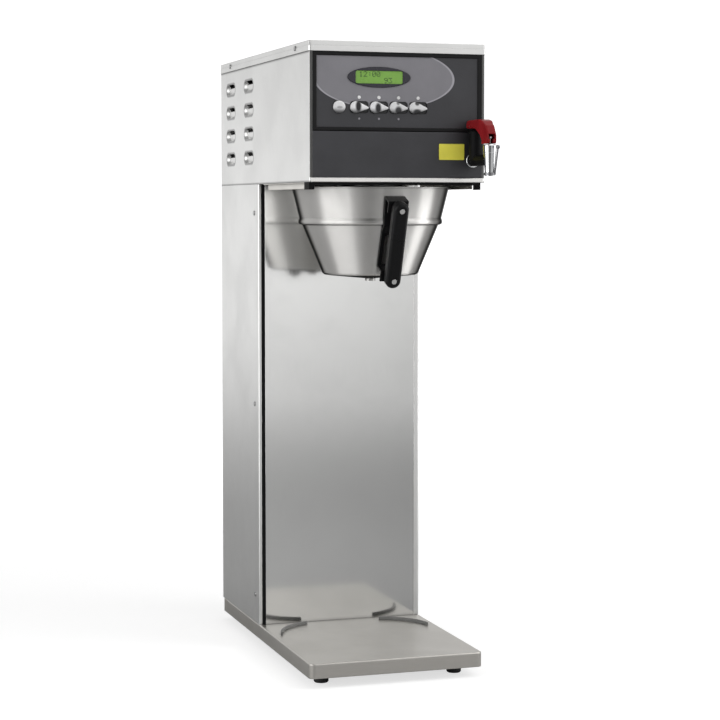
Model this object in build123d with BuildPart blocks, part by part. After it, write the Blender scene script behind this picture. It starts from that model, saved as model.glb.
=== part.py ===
from build123d import *
import math
import os

# Coffee brewer for a thermal server, in millimetres, +Z up, front toward -Y.
# The origin lies on the counter, in the middle between the four feet.

os.makedirs("parts", exist_ok=True)

# Overall sizes
BODY_WIDTH = 280.0
BODY_DEPTH = 550.0
FOOT_HEIGHT = 16.0
BASE_HEIGHT = 23.0
HEAD_BOTTOM = 768.0
LOWER_PANEL_HEIGHT = 77.0
CONTROL_HEIGHT = 118.0
LID_SKIRT = 16.0
LID_OVERHANG = 1.5
COLUMN_FRONT = 25.0
SHEET = 1.2
FIT = 0.2

# Places that follow from them
FRONT = -BODY_DEPTH / 2
REAR = BODY_DEPTH / 2
SIDE = BODY_WIDTH / 2
BASE_TOP = FOOT_HEIGHT + BASE_HEIGHT
CONTROL_BOTTOM = HEAD_BOTTOM + LOWER_PANEL_HEIGHT
CONTROL_TOP = CONTROL_BOTTOM + CONTROL_HEIGHT
LID_BOTTOM = CONTROL_TOP
LID_TOP = LID_BOTTOM + LID_SKIRT
LID_INSIDE = LID_TOP - SHEET

# Base and feet
BASE_SHEET = 1.5
BASE_CORNER = 9.0
BASE_EDGE = 2.0
BASE_LIP = 62.0
FOOT_INSET_X = 31.0
FOOT_INSET_Y = 46.0
FOOT_RADIUS = 11.5
FOOT_CHAMFER = 1.5
FOOT_STUD_RADIUS = 3.0
FOOT_STUD_LENGTH = 5.0
GUIDE_HEIGHT = 5.0
GUIDE_WIDTH = 3.0
GUIDE_EDGE = 1.0
GUIDE_MARGIN = 15.0
GUIDE_OUTER_Y = COLUMN_FRONT - 86.0
GUIDE_MIDDLE_Y = COLUMN_FRONT - 42.0
GUIDE_INNER_Y = COLUMN_FRONT - 17.0

# Panel screws
SCREW_HEAD_RADIUS = 4.0
SCREW_HEAD_HEIGHT = 1.4
SCREW_SHANK_RADIUS = 1.9
SCREW_LENGTH = 7.0
SIDE_SCREW_Y = COLUMN_FRONT + 25.0
SIDE_SCREW_MARGIN = 47.0
SIDE_SCREW_MIDDLE = (BASE_TOP + HEAD_BOTTOM) / 2 + 1.5
SIDE_SCREW_HEIGHTS = (
    BASE_TOP + SIDE_SCREW_MARGIN, SIDE_SCREW_MIDDLE, HEAD_BOTTOM - SIDE_SCREW_MARGIN
)
LID_SCREW_Y = REAR - 72.0
LID_SCREW_Z = LID_TOP - 8.0
SCREW_CUT = 6.0

# Column front
SEAM_WIDTH = 6.5
SEAM_DEPTH = 5.0
SEAM_SETBACK = 1.0
COLUMN_FLANGE = 5.0
COLUMN_RIGHT_FLANGE = 9.0
COLUMN_RETURN = 18.0
PANEL_BEND = 3.0

# Louvres pressed into the head sides
LOUVRE_LENGTH = 60.0
LOUVRE_HEIGHT = 20.0
LOUVRE_DEPTH = 5.0
LOUVRE_TAPER = 35.0
LOUVRE_COLUMNS = (REAR - 191.0, REAR - 70.0)
LOUVRE_ROWS = (
    HEAD_BOTTOM + 44.6, HEAD_BOTTOM + 84.2, HEAD_BOTTOM + 123.6, HEAD_BOTTOM + 163.2
)

# Control area
CONTROL_MARGIN = 5.0
CONTROL_HALF_WIDTH = SIDE - CONTROL_MARGIN
OVERLAY_MARGIN = 6.4
OVERLAY_HALF_WIDTH = CONTROL_HALF_WIDTH - OVERLAY_MARGIN
OVERLAY_BOTTOM = CONTROL_BOTTOM + 5.0
OVERLAY_TOP = CONTROL_TOP - 6.0
OVERLAY_RECESS = 1.5
OVERLAY_THICK = 2.0
FRAME_DEPTH = 14.0
FRAME_LEDGE = 3.0
LCD_X = 98.6 - OVERLAY_HALF_WIDTH
LCD_Z = OVERLAY_TOP - 31.5
LCD_LENS_HALF_WIDTH = 50.0
LCD_LENS_HALF_HEIGHT = 15.5
LCD_LENS_THICK = 1.2
LCD_WINDOW_WIDTH = 75.0
LCD_WINDOW_HEIGHT = 19.5
LCD_CORNER = 3.0
LCD_GLASS_PROUD = 0.4
LCD_MODULE_DEPTH = 7.0
BUTTON_Z = OVERLAY_BOTTOM + 30.3
POWER_BUTTON_X = 35.6 - OVERLAY_HALF_WIDTH
POWER_BUTTON_RADIUS = 9.5
POWER_BUTTON_EDGE = 2.4
BREW_BUTTON_X = (
    POWER_BUTTON_X + 31.5, POWER_BUTTON_X + 62.7, POWER_BUTTON_X + 93.9, POWER_BUTTON_X + 125.1
)
BREW_BUTTON_ROUND = 8.8
BREW_BUTTON_TIP = 1.8
BREW_BUTTON_DROP = 0.8
BREW_BUTTON_HALF_LENGTH = 14.2
BREW_BUTTON_EDGE = 1.2
BREW_FLANGE_HEIGHT = 22.0
BUTTON_PROUD = 3.0
BUTTON_GAP = 0.4
BUTTON_TRAVEL = 1.0
BUTTON_FLANGE = 1.2
INDICATOR_Z = BUTTON_Z + 14.9
INDICATOR_RADIUS = 2.8
INDICATOR_PROUD = 0.5
BOARD_X = LCD_X + 5.0
BOARD_Y = FRONT + 18.0
BOARD_Z = BUTTON_Z + 18.7
BOARD_WIDTH = 180.0
BOARD_HEIGHT = 88.0
BOARD_THICK = 1.6
BOARD_POST_INSET_X = 3.0
BOARD_POST_INSET_Z = 5.0
BOARD_POST_RADIUS = 3.0

# Lower front
TRIM_BOTTOM = HEAD_BOTTOM + 0.2
TRIM_TOP = HEAD_BOTTOM + 6.8
TRIM_PROUD = 1.5
LOWER_PANEL_THICK = 3.0
LOWER_PANEL_EDGE = 2.0

# Brew funnel, radii and heights of the outside of its wall
FUNNEL_WALL = 1.2
FUNNEL_RIM_THICK = 1.4
FUNNEL_RIM_RADIUS = SIDE - 12.0
FUNNEL_RIM_WALL_RADIUS = FUNNEL_RIM_RADIUS - 4.3
FUNNEL_NECK_RADIUS = FUNNEL_RIM_RADIUS - 15.8
FUNNEL_BEAD_RADIUS = FUNNEL_RIM_RADIUS - 14.4
FUNNEL_CONE_RADIUS = FUNNEL_RIM_RADIUS - 20.7
FUNNEL_FLOOR_RADIUS = FUNNEL_RIM_RADIUS - 52.0
FUNNEL_RIM_Z = HEAD_BOTTOM - 8.0
FUNNEL_NECK_Z = FUNNEL_RIM_Z - 46.5
FUNNEL_BEAD_Z = FUNNEL_RIM_Z - 51.5
FUNNEL_CONE_Z = FUNNEL_RIM_Z - 57.5
FUNNEL_FLOOR_Z = FUNNEL_RIM_Z - 132.6
FUNNEL_Y = FRONT + FUNNEL_RIM_RADIUS + 9.0
DRIP_RADIUS = 8.0
DRIP_WALL = 1.5
DRIP_LENGTH = 13.0
RAIL_WEB = FUNNEL_RIM_RADIUS + 1.6
RAIL_LIP = 5.0
RAIL_SHEET = 1.2
RAIL_FRONT = FRONT + 29.0
RAIL_BACK = FUNNEL_Y + FUNNEL_RIM_RADIUS + 4.0
RAIL_LIP_TOP = FUNNEL_RIM_Z - 0.6
SKIRT_BOTTOM = HEAD_BOTTOM - 11.0
SKIRT_ARCH = HEAD_BOTTOM - 4.0
SKIRT_DEPTH = 26.0
SKIRT_SETBACK = 2.0

# Funnel handle, in the plane through the funnel axis
GRIP_TOP_Y = FUNNEL_Y - FUNNEL_RIM_RADIUS - 19.0
GRIP_TOP_Z = FUNNEL_RIM_Z - 33.0
GRIP_BOTTOM_Y = FUNNEL_Y - FUNNEL_FLOOR_RADIUS - 33.0
GRIP_BOTTOM_Z = FUNNEL_RIM_Z - 140.0
GRIP_END = 12.5
GRIP_WIDTH = 24.0
GRIP_THICK = 20.0
GRIP_EDGE = 6.0
STRAP_WIDTH = 32.0
STRAP_THICK = 3.0
STRAP_WINDOW_WIDTH = 19.4
STRAP_WINDOW_LENGTH = 50.0
STRAP_WINDOW_MIDDLE = 75.0

# Hot-water faucet
FAUCET_X = SIDE - 20.0
FAUCET_Z = HEAD_BOTTOM + 33.5
POST_Y = FRONT - 14.0
POST_RADIUS = 10.5
POST_TOP = FAUCET_Z + 44.5
SPOUT_Y = FRONT - 72.0
SPOUT_TOP = FAUCET_Z + 10.5
SPOUT_BOTTOM = FAUCET_Z - 24.5
SPOUT_BOTTOM_RADIUS = 6.9
SPOUT_TAPER = 0.076
SPOUT_WALL = 1.4
CHAMBER_RADIUS = 7.0
SEAT_Z = FAUCET_Z - 5.5
SEAT_RADIUS = 4.5
BONNET_TOP = SPOUT_TOP + 12.0
BONNET_CEILING = SPOUT_TOP + 2.5
STEM_RADIUS = 2.0
STEM_FIT = 0.35
CUP_RADIUS = 5.8
CUP_THICK = 3.5
HINGE_Z = POST_TOP + 7.0
PIN_RADIUS = 1.5
PIN_FIT = 0.05
LEVER_HALF_WIDTH = 11.0
LEVER_NOSE_HALF_WIDTH = 7.6
TONGUE_HALF_WIDTH = 4.0
TONGUE_LENGTH = 8.0
COLLAR_RADIUS = 8.5
SHANK_RADIUS = 6.0
SHANK_BORE = 3.5
PLATE_X = FAUCET_X - 34.2
PLATE_Z = FAUCET_Z + 13.0
PLATE_WIDTH = 40.7
PLATE_HEIGHT = 24.3
PLATE_THICK = 0.8

# Water tank
TANK_RADIUS = 100.0
TANK_Y = (COLUMN_FRONT + REAR) / 2 + 2.0
TANK_BOTTOM = HEAD_BOTTOM - 26.0
TANK_TOP = LID_TOP - 47.0
TANK_WALL = 1.0
TANK_FLANGE = 6.0
TANK_LID_THICK = 2.0


def front_plane(y):
    """Plane facing the user at the given y; its second axis is the height."""
    return Plane(origin=(0, y, 0), x_dir=(1, 0, 0), z_dir=(0, -1, 0))


def side_plane(x):
    """Plane facing +X at the given x; its axes are y and the height."""
    return Plane(origin=(x, 0, 0), x_dir=(0, 1, 0), z_dir=(1, 0, 0))


# Base tray with a return lip underneath for the feet
with BuildPart() as base_pan:
    with BuildSketch(Plane.XY.offset(FOOT_HEIGHT)):
        RectangleRounded(BODY_WIDTH, BODY_DEPTH, BASE_CORNER)
    extrude(amount=BASE_HEIGHT)
    fillet(base_pan.faces().sort_by(Axis.Z)[-1].edges(), BASE_EDGE)
    with BuildSketch(Plane.XY.offset(FOOT_HEIGHT + BASE_SHEET)):
        RectangleRounded(
            BODY_WIDTH - 2 * BASE_SHEET, BODY_DEPTH - 2 * BASE_SHEET, BASE_CORNER - BASE_SHEET
        )
    extrude(amount=BASE_HEIGHT - 2 * BASE_SHEET, mode=Mode.SUBTRACT)
    with BuildSketch(Plane.XY.offset(FOOT_HEIGHT)):
        RectangleRounded(BODY_WIDTH - 2 * BASE_LIP, BODY_DEPTH - 2 * BASE_LIP, BASE_CORNER)
        with GridLocations(BODY_WIDTH - 2 * FOOT_INSET_X, BODY_DEPTH - 2 * FOOT_INSET_Y, 2, 2):
            Circle(FOOT_STUD_RADIUS + PIN_FIT)
    extrude(amount=BASE_SHEET, mode=Mode.SUBTRACT)
base_pan.part.label = "base_pan"
export_step(base_pan.part, "parts/base_pan.step")


# Four rubber feet, each with a stud up through the lip of the base
with BuildPart() as feet:
    with BuildSketch():
        with GridLocations(BODY_WIDTH - 2 * FOOT_INSET_X, BODY_DEPTH - 2 * FOOT_INSET_Y, 2, 2):
            Circle(FOOT_RADIUS)
    extrude(amount=FOOT_HEIGHT)
    chamfer(feet.faces().filter_by(Axis.Z).group_by(Axis.Z)[0].edges(), FOOT_CHAMFER)
    with BuildSketch():
        with GridLocations(BODY_WIDTH - 2 * FOOT_INSET_X, BODY_DEPTH - 2 * FOOT_INSET_Y, 2, 2):
            Circle(FOOT_STUD_RADIUS)
    extrude(amount=FOOT_HEIGHT + BASE_SHEET + FOOT_STUD_LENGTH)
feet.part.label = "feet"
export_step(feet.part, "parts/feet.step")


# Low curved ridges that stop the server at the right spot
def server_guide(sign):
    """Curved ridge on the base; sign is -1 on the left and 1 on the right."""
    with BuildPart() as guide:
        with BuildSketch(Plane.XY.offset(BASE_TOP)):
            with BuildLine():
                ThreePointArc(
                    (sign * (SIDE - GUIDE_MARGIN), GUIDE_OUTER_Y),
                    (sign * (SIDE - GUIDE_MARGIN - 22), GUIDE_MIDDLE_Y),
                    (sign * (SIDE - GUIDE_MARGIN - 62), GUIDE_INNER_Y),
                )
            trace(line_width=GUIDE_WIDTH)
        extrude(amount=GUIDE_HEIGHT)
        fillet(guide.faces().sort_by(Axis.Z)[-1].edges(), GUIDE_EDGE)
    return guide.part


server_guide_left = server_guide(-1)
server_guide_left.label = "server_guide_left"
export_step(server_guide_left, "parts/server_guide_left.step")
server_guide_right = server_guide(1)
server_guide_right.label = "server_guide_right"
export_step(server_guide_right, "parts/server_guide_right.step")


# Column side panels with a folded front flange
def column_side(sign, flange):
    """Side sheet of the column; sign is -1 on the left and 1 on the right."""
    with BuildPart() as side:
        with BuildSketch(Plane.XY.offset(BASE_TOP)):
            with BuildLine():
                Polyline(
                    (sign * SIDE, REAR),
                    (sign * SIDE, COLUMN_FRONT),
                    (sign * (SIDE - flange), COLUMN_FRONT),
                    (sign * (SIDE - flange), COLUMN_FRONT + SHEET),
                    (sign * (SIDE - SHEET), COLUMN_FRONT + SHEET),
                    (sign * (SIDE - SHEET), REAR),
                    close=True,
                )
            make_face()
        extrude(amount=HEAD_BOTTOM - BASE_TOP)
        upright = side.edges().filter_by(Axis.Z)
        corner = upright.group_by(Axis.Y)[0].sort_by(Axis.X)
        fillet(corner[0 if sign < 0 else -1], PANEL_BEND)
        for height in SIDE_SCREW_HEIGHTS:
            with BuildSketch(side_plane(sign * SIDE - SCREW_CUT / 2)):
                with Locations((SIDE_SCREW_Y, height)):
                    Circle(SCREW_SHANK_RADIUS + FIT)
            extrude(amount=SCREW_CUT, mode=Mode.SUBTRACT)
    return side.part


column_side_left = column_side(-1, COLUMN_FLANGE)
column_side_left.label = "column_side_left"
export_step(column_side_left, "parts/column_side_left.step")
column_side_right = column_side(1, COLUMN_RIGHT_FLANGE)
column_side_right.label = "column_side_right"
export_step(column_side_right, "parts/column_side_right.step")


# Black strip in the seam beside the bright column front
with BuildPart() as column_seam_strip:
    with BuildSketch(Plane.XY.offset(BASE_TOP)):
        seam_middle = COLUMN_FRONT + SEAM_SETBACK + SEAM_DEPTH / 2
        with Locations((-SIDE + COLUMN_FLANGE + SEAM_WIDTH / 2, seam_middle)):
            Rectangle(SEAM_WIDTH, SEAM_DEPTH)
    extrude(amount=HEAD_BOTTOM - BASE_TOP)
column_seam_strip.part.label = "column_seam_strip"
export_step(column_seam_strip.part, "parts/column_seam_strip.step")


# Polished column front, folded back at its left edge and tucked under the right flange
with BuildPart() as column_front_panel:
    seam_edge = -SIDE + COLUMN_FLANGE + SEAM_WIDTH
    tuck_edge = SIDE - COLUMN_RIGHT_FLANGE
    with BuildSketch(Plane.XY.offset(BASE_TOP)):
        with BuildLine():
            Polyline(
                (seam_edge, COLUMN_FRONT + COLUMN_RETURN),
                (seam_edge, COLUMN_FRONT),
                (tuck_edge - FIT, COLUMN_FRONT),
                (tuck_edge - FIT, COLUMN_FRONT + SHEET),
                (SIDE - SHEET - FIT, COLUMN_FRONT + SHEET),
                (SIDE - SHEET - FIT, COLUMN_FRONT + 2 * SHEET),
                (tuck_edge - FIT - SHEET, COLUMN_FRONT + 2 * SHEET),
                (tuck_edge - FIT - SHEET, COLUMN_FRONT + SHEET),
                (seam_edge + SHEET, COLUMN_FRONT + SHEET),
                (seam_edge + SHEET, COLUMN_FRONT + COLUMN_RETURN),
                close=True,
            )
        make_face()
    extrude(amount=HEAD_BOTTOM - BASE_TOP)
column_front_panel.part.label = "column_front_panel"
export_step(column_front_panel.part, "parts/column_front_panel.step")


# One sheet closes the back of the column and of the head
GLAND_X = -60.0
GLAND_Z = BASE_TOP + 51.0
GLAND_RADIUS = 10.0
GLAND_BORE = 6.0
GLAND_HEX = 15.0
INLET_X = 60.0
INLET_Z = BASE_TOP + 51.0
INLET_RADIUS = 9.0
INLET_BORE = 5.0
INLET_HEX = 14.0
INLET_OUTSIDE = 16.0
INLET_LENGTH = 42.0
with BuildPart() as back_panel:
    with BuildSketch(front_plane(REAR)):
        with Locations((0, (BASE_TOP + LID_INSIDE) / 2)):
            Rectangle(BODY_WIDTH - 2 * SHEET - 2 * FIT, LID_INSIDE - BASE_TOP)
        with Locations((GLAND_X, GLAND_Z)):
            Circle(GLAND_RADIUS + FIT, mode=Mode.SUBTRACT)
        with Locations((INLET_X, INLET_Z)):
            Circle(INLET_RADIUS + FIT, mode=Mode.SUBTRACT)
    extrude(amount=SHEET)
back_panel.part.label = "back_panel"
export_step(back_panel.part, "parts/back_panel.step")


# Cable gland and threaded water inlet on the back
with BuildPart() as cable_gland:
    with BuildSketch(front_plane(REAR + 9)):
        with Locations((GLAND_X, GLAND_Z)):
            RegularPolygon(GLAND_HEX, 6)
            Circle(GLAND_BORE, mode=Mode.SUBTRACT)
    extrude(amount=9)
    with BuildSketch(front_plane(REAR)):
        with Locations((GLAND_X, GLAND_Z)):
            Circle(GLAND_RADIUS)
            Circle(GLAND_BORE, mode=Mode.SUBTRACT)
    extrude(amount=12)
    with BuildSketch(front_plane(REAR - SHEET)):
        with Locations((GLAND_X, GLAND_Z)):
            RegularPolygon(GLAND_HEX, 6)
            Circle(GLAND_BORE, mode=Mode.SUBTRACT)
    extrude(amount=5)
cable_gland.part.label = "cable_gland"
export_step(cable_gland.part, "parts/cable_gland.step")

with BuildPart() as water_inlet_fitting:
    with BuildSketch(front_plane(REAR + INLET_OUTSIDE)):
        with Locations((INLET_X, INLET_Z)):
            Circle(INLET_RADIUS)
            Circle(INLET_BORE, mode=Mode.SUBTRACT)
    extrude(amount=INLET_LENGTH)
    with BuildSketch(front_plane(REAR + 4)):
        with Locations((INLET_X, INLET_Z)):
            RegularPolygon(INLET_HEX, 6)
            Circle(INLET_BORE, mode=Mode.SUBTRACT)
    extrude(amount=4)
    with BuildSketch(front_plane(REAR - SHEET)):
        with Locations((INLET_X, INLET_Z)):
            RegularPolygon(INLET_HEX, 6)
            Circle(INLET_BORE, mode=Mode.SUBTRACT)
    extrude(amount=5)
water_inlet_fitting.part.label = "water_inlet_fitting"
export_step(water_inlet_fitting.part, "parts/water_inlet_fitting.step")


# Head side panels with pressed louvres, a front flange and a bottom flange
def head_side(sign):
    """Side sheet of the head; sign is -1 on the left and 1 on the right."""
    with BuildPart() as side:
        with BuildSketch(Plane.XY.offset(HEAD_BOTTOM)):
            with BuildLine():
                Polyline(
                    (sign * SIDE, REAR),
                    (sign * SIDE, FRONT),
                    (sign * CONTROL_HALF_WIDTH + sign * FIT, FRONT),
                    (sign * CONTROL_HALF_WIDTH + sign * FIT, FRONT + SHEET),
                    (sign * (SIDE - SHEET), FRONT + SHEET),
                    (sign * (SIDE - SHEET), REAR),
                    close=True,
                )
            make_face()
        extrude(amount=LID_INSIDE - HEAD_BOTTOM)
        upright = side.edges().filter_by(Axis.Z)
        corner = upright.group_by(Axis.Y)[0].sort_by(Axis.X)
        fillet(corner[0 if sign < 0 else -1], PANEL_BEND)
        inward = Plane(origin=(sign * SIDE, 0, 0), x_dir=(0, 1, 0), z_dir=(-sign, 0, 0))
        up = -sign
        places = [(y, up * z) for y in LOUVRE_COLUMNS for z in LOUVRE_ROWS]
        with BuildSketch(inward):
            with Locations(*places):
                RectangleRounded(LOUVRE_LENGTH, LOUVRE_HEIGHT, LOUVRE_HEIGHT / 2 - 0.2)
        extrude(amount=LOUVRE_DEPTH, taper=LOUVRE_TAPER)
        with BuildSketch(inward):
            with Locations(*places):
                RectangleRounded(
                    LOUVRE_LENGTH - 2 * SHEET,
                    LOUVRE_HEIGHT - 2 * SHEET,
                    LOUVRE_HEIGHT / 2 - SHEET - 0.2,
                )
        extrude(amount=LOUVRE_DEPTH - 1, taper=LOUVRE_TAPER, mode=Mode.SUBTRACT)
        with BuildSketch(inward):
            with Locations(*[(y, z + up * LOUVRE_HEIGHT * 0.3) for y, z in places]):
                RectangleRounded(LOUVRE_LENGTH * 0.62, LOUVRE_HEIGHT * 0.3, 2)
        extrude(amount=LOUVRE_DEPTH + 1, mode=Mode.SUBTRACT)
        with BuildSketch(side_plane(sign * SIDE - SCREW_CUT / 2)):
            with Locations((-LID_SCREW_Y, LID_SCREW_Z), (LID_SCREW_Y, LID_SCREW_Z)):
                Circle(SCREW_SHANK_RADIUS + FIT)
        extrude(amount=SCREW_CUT, mode=Mode.SUBTRACT)
    return side.part


head_side_left = head_side(-1)
head_side_left.label = "head_side_left"
export_step(head_side_left, "parts/head_side_left.step")
head_side_right = head_side(1)
head_side_right.label = "head_side_right"
export_step(head_side_right, "parts/head_side_right.step")


# Lid with turned-down edges and a hem along their lower half
with BuildPart() as lid:
    with BuildSketch(Plane.XY.offset(LID_BOTTOM)):
        RectangleRounded(BODY_WIDTH + 2 * LID_OVERHANG, BODY_DEPTH + 2 * LID_OVERHANG, 4)
    extrude(amount=LID_SKIRT / 2)
    with BuildSketch(Plane.XY.offset(LID_BOTTOM + LID_SKIRT / 2)):
        RectangleRounded(BODY_WIDTH + 2 * LID_OVERHANG - 1, BODY_DEPTH + 2 * LID_OVERHANG - 1, 4)
    extrude(amount=LID_SKIRT / 2)
    fillet(lid.faces().sort_by(Axis.Z)[-1].edges(), 1.6)
    with BuildSketch(Plane.XY.offset(LID_BOTTOM)):
        Rectangle(BODY_WIDTH + FIT, BODY_DEPTH + FIT)
    extrude(amount=LID_SKIRT - SHEET, mode=Mode.SUBTRACT)
    for side_x in (-SIDE - 5, SIDE):
        with BuildSketch(side_plane(side_x)):
            with Locations((-LID_SCREW_Y, LID_SCREW_Z), (LID_SCREW_Y, LID_SCREW_Z)):
                Circle(SCREW_SHANK_RADIUS + FIT)
        extrude(amount=5, mode=Mode.SUBTRACT)
lid.part.label = "lid"
export_step(lid.part, "parts/lid.step")


# Round-head screws of the column sides and of the lid
side_screws = [(SIDE_SCREW_Y, z, SIDE) for z in SIDE_SCREW_HEIGHTS]
lid_screws = [(y, LID_SCREW_Z, SIDE + LID_OVERHANG) for y in (-LID_SCREW_Y, LID_SCREW_Y)]
with BuildPart() as panel_screws:
    for screw_y, screw_z, seat in side_screws + lid_screws:
        for sign in (-1, 1):
            outward = Plane(
                origin=(sign * seat, screw_y, screw_z), x_dir=(0, 1, 0), z_dir=(sign, 0, 0)
            )
            with BuildSketch(outward):
                Circle(SCREW_HEAD_RADIUS)
            extrude(amount=SCREW_HEAD_HEIGHT, taper=25)
            with BuildSketch(outward):
                Circle(SCREW_SHANK_RADIUS)
            extrude(amount=-SCREW_LENGTH)
panel_screws.part.label = "panel_screws"
export_step(panel_screws.part, "parts/panel_screws.step")


# Floor of the head, open above the column and at the spray head
SPRAY_RADIUS = 52.0
SPRAY_Z = HEAD_BOTTOM - 4.4
SPRAY_SHEET = 1.2
SPRAY_NECK_RADIUS = 20.0
SPRAY_NECK_HEIGHT = 8.0
SPRAY_INLET_RADIUS = 5.0
SPRAY_HOLE_RADIUS = 1.6
with BuildPart() as head_floor:
    with BuildSketch(Plane.XY.offset(HEAD_BOTTOM)):
        with Locations((0, (FRONT + SHEET + REAR) / 2 - SHEET)):
            Rectangle(BODY_WIDTH - 2 * SHEET - 2 * FIT, BODY_DEPTH - 3 * SHEET - 2 * FIT)
        with Locations((0, (COLUMN_FRONT + REAR) / 2)):
            Rectangle(BODY_WIDTH - 20, REAR - COLUMN_FRONT - 20, mode=Mode.SUBTRACT)
        with Locations((0, FUNNEL_Y)):
            Circle(SPRAY_NECK_RADIUS + FIT, mode=Mode.SUBTRACT)
    extrude(amount=SHEET)
head_floor.part.label = "head_floor"
export_step(head_floor.part, "parts/head_floor.step")


# Black skirt under the front of the head, high in the middle so the funnel passes
with BuildPart() as front_skirt:
    arch_half = RAIL_WEB + RAIL_SHEET + 1
    with BuildSketch(front_plane(FRONT + SKIRT_SETBACK)):
        with BuildLine():
            Polyline(
                (-SIDE, HEAD_BOTTOM),
                (-SIDE, SKIRT_BOTTOM),
                (-arch_half, SKIRT_BOTTOM),
                (-arch_half, SKIRT_ARCH),
                (arch_half, SKIRT_ARCH),
                (arch_half, SKIRT_BOTTOM),
                (SIDE - 6, SKIRT_BOTTOM),
                (SIDE - 6, HEAD_BOTTOM),
                close=True,
            )
        make_face()
    extrude(amount=-SKIRT_DEPTH)
    with BuildSketch(Plane.XY.offset(SKIRT_ARCH)):
        with Locations((0, FRONT + SKIRT_SETBACK + SKIRT_DEPTH / 2 + 3)):
            Rectangle(2 * RAIL_WEB - 20, SKIRT_DEPTH)
    extrude(amount=HEAD_BOTTOM - SKIRT_ARCH - 1.5, mode=Mode.SUBTRACT)
front_skirt.part.label = "front_skirt"
export_step(front_skirt.part, "parts/front_skirt.step")


# Rails that carry the rim of the funnel
def funnel_rail(sign):
    """Rail channel; sign is -1 on the left and 1 on the right."""
    with BuildPart() as rail:
        with BuildSketch(front_plane(RAIL_FRONT)):
            with BuildLine():
                Polyline(
                    (sign * RAIL_WEB, HEAD_BOTTOM - RAIL_SHEET),
                    (sign * RAIL_WEB, RAIL_LIP_TOP),
                    (sign * (RAIL_WEB - RAIL_LIP), RAIL_LIP_TOP),
                    (sign * (RAIL_WEB - RAIL_LIP), RAIL_LIP_TOP - RAIL_SHEET),
                    (sign * (RAIL_WEB + RAIL_SHEET), RAIL_LIP_TOP - RAIL_SHEET),
                    (sign * (RAIL_WEB + RAIL_SHEET), HEAD_BOTTOM - RAIL_SHEET),
                    (sign * (SIDE - 1), HEAD_BOTTOM - RAIL_SHEET),
                    (sign * (SIDE - 1), HEAD_BOTTOM),
                    (sign * (RAIL_WEB - 8), HEAD_BOTTOM),
                    (sign * (RAIL_WEB - 8), HEAD_BOTTOM - RAIL_SHEET),
                    close=True,
                )
            make_face()
        extrude(amount=RAIL_FRONT - RAIL_BACK)
    return rail.part


funnel_rail_left = funnel_rail(-1)
funnel_rail_left.label = "funnel_rail_left"
export_step(funnel_rail_left, "parts/funnel_rail_left.step")
funnel_rail_right = funnel_rail(1)
funnel_rail_right.label = "funnel_rail_right"
export_step(funnel_rail_right, "parts/funnel_rail_right.step")


# Spray head hanging under the head floor, with a ring of drip holes
with BuildPart() as spray_head:
    with BuildSketch(Plane.XY.offset(SPRAY_Z)):
        with Locations((0, FUNNEL_Y)):
            Circle(SPRAY_RADIUS)
    extrude(amount=HEAD_BOTTOM - SPRAY_Z)
    with BuildSketch(Plane.XY.offset(HEAD_BOTTOM)):
        with Locations((0, FUNNEL_Y)):
            Circle(SPRAY_NECK_RADIUS)
    extrude(amount=SPRAY_NECK_HEIGHT)
    with BuildSketch(Plane.XY.offset(SPRAY_Z + SPRAY_SHEET)):
        with Locations((0, FUNNEL_Y)):
            Circle(SPRAY_RADIUS - 2)
    extrude(amount=HEAD_BOTTOM - SPRAY_Z - 2 * SPRAY_SHEET, mode=Mode.SUBTRACT)
    with BuildSketch(Plane.XY.offset(SPRAY_Z + SPRAY_SHEET)):
        with Locations((0, FUNNEL_Y)):
            Circle(SPRAY_INLET_RADIUS)
    extrude(amount=HEAD_BOTTOM + SPRAY_NECK_HEIGHT - SPRAY_Z, mode=Mode.SUBTRACT)
    with BuildSketch(Plane.XY.offset(SPRAY_Z)):
        with Locations((0, FUNNEL_Y)):
            for ring_radius, ring_holes in ((38, 16), (24, 10), (11, 6)):
                with PolarLocations(ring_radius, ring_holes):
                    Circle(SPRAY_HOLE_RADIUS)
    extrude(amount=SPRAY_SHEET, mode=Mode.SUBTRACT)
spray_head.part.label = "spray_head"
export_step(spray_head.part, "parts/spray_head.step")


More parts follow.
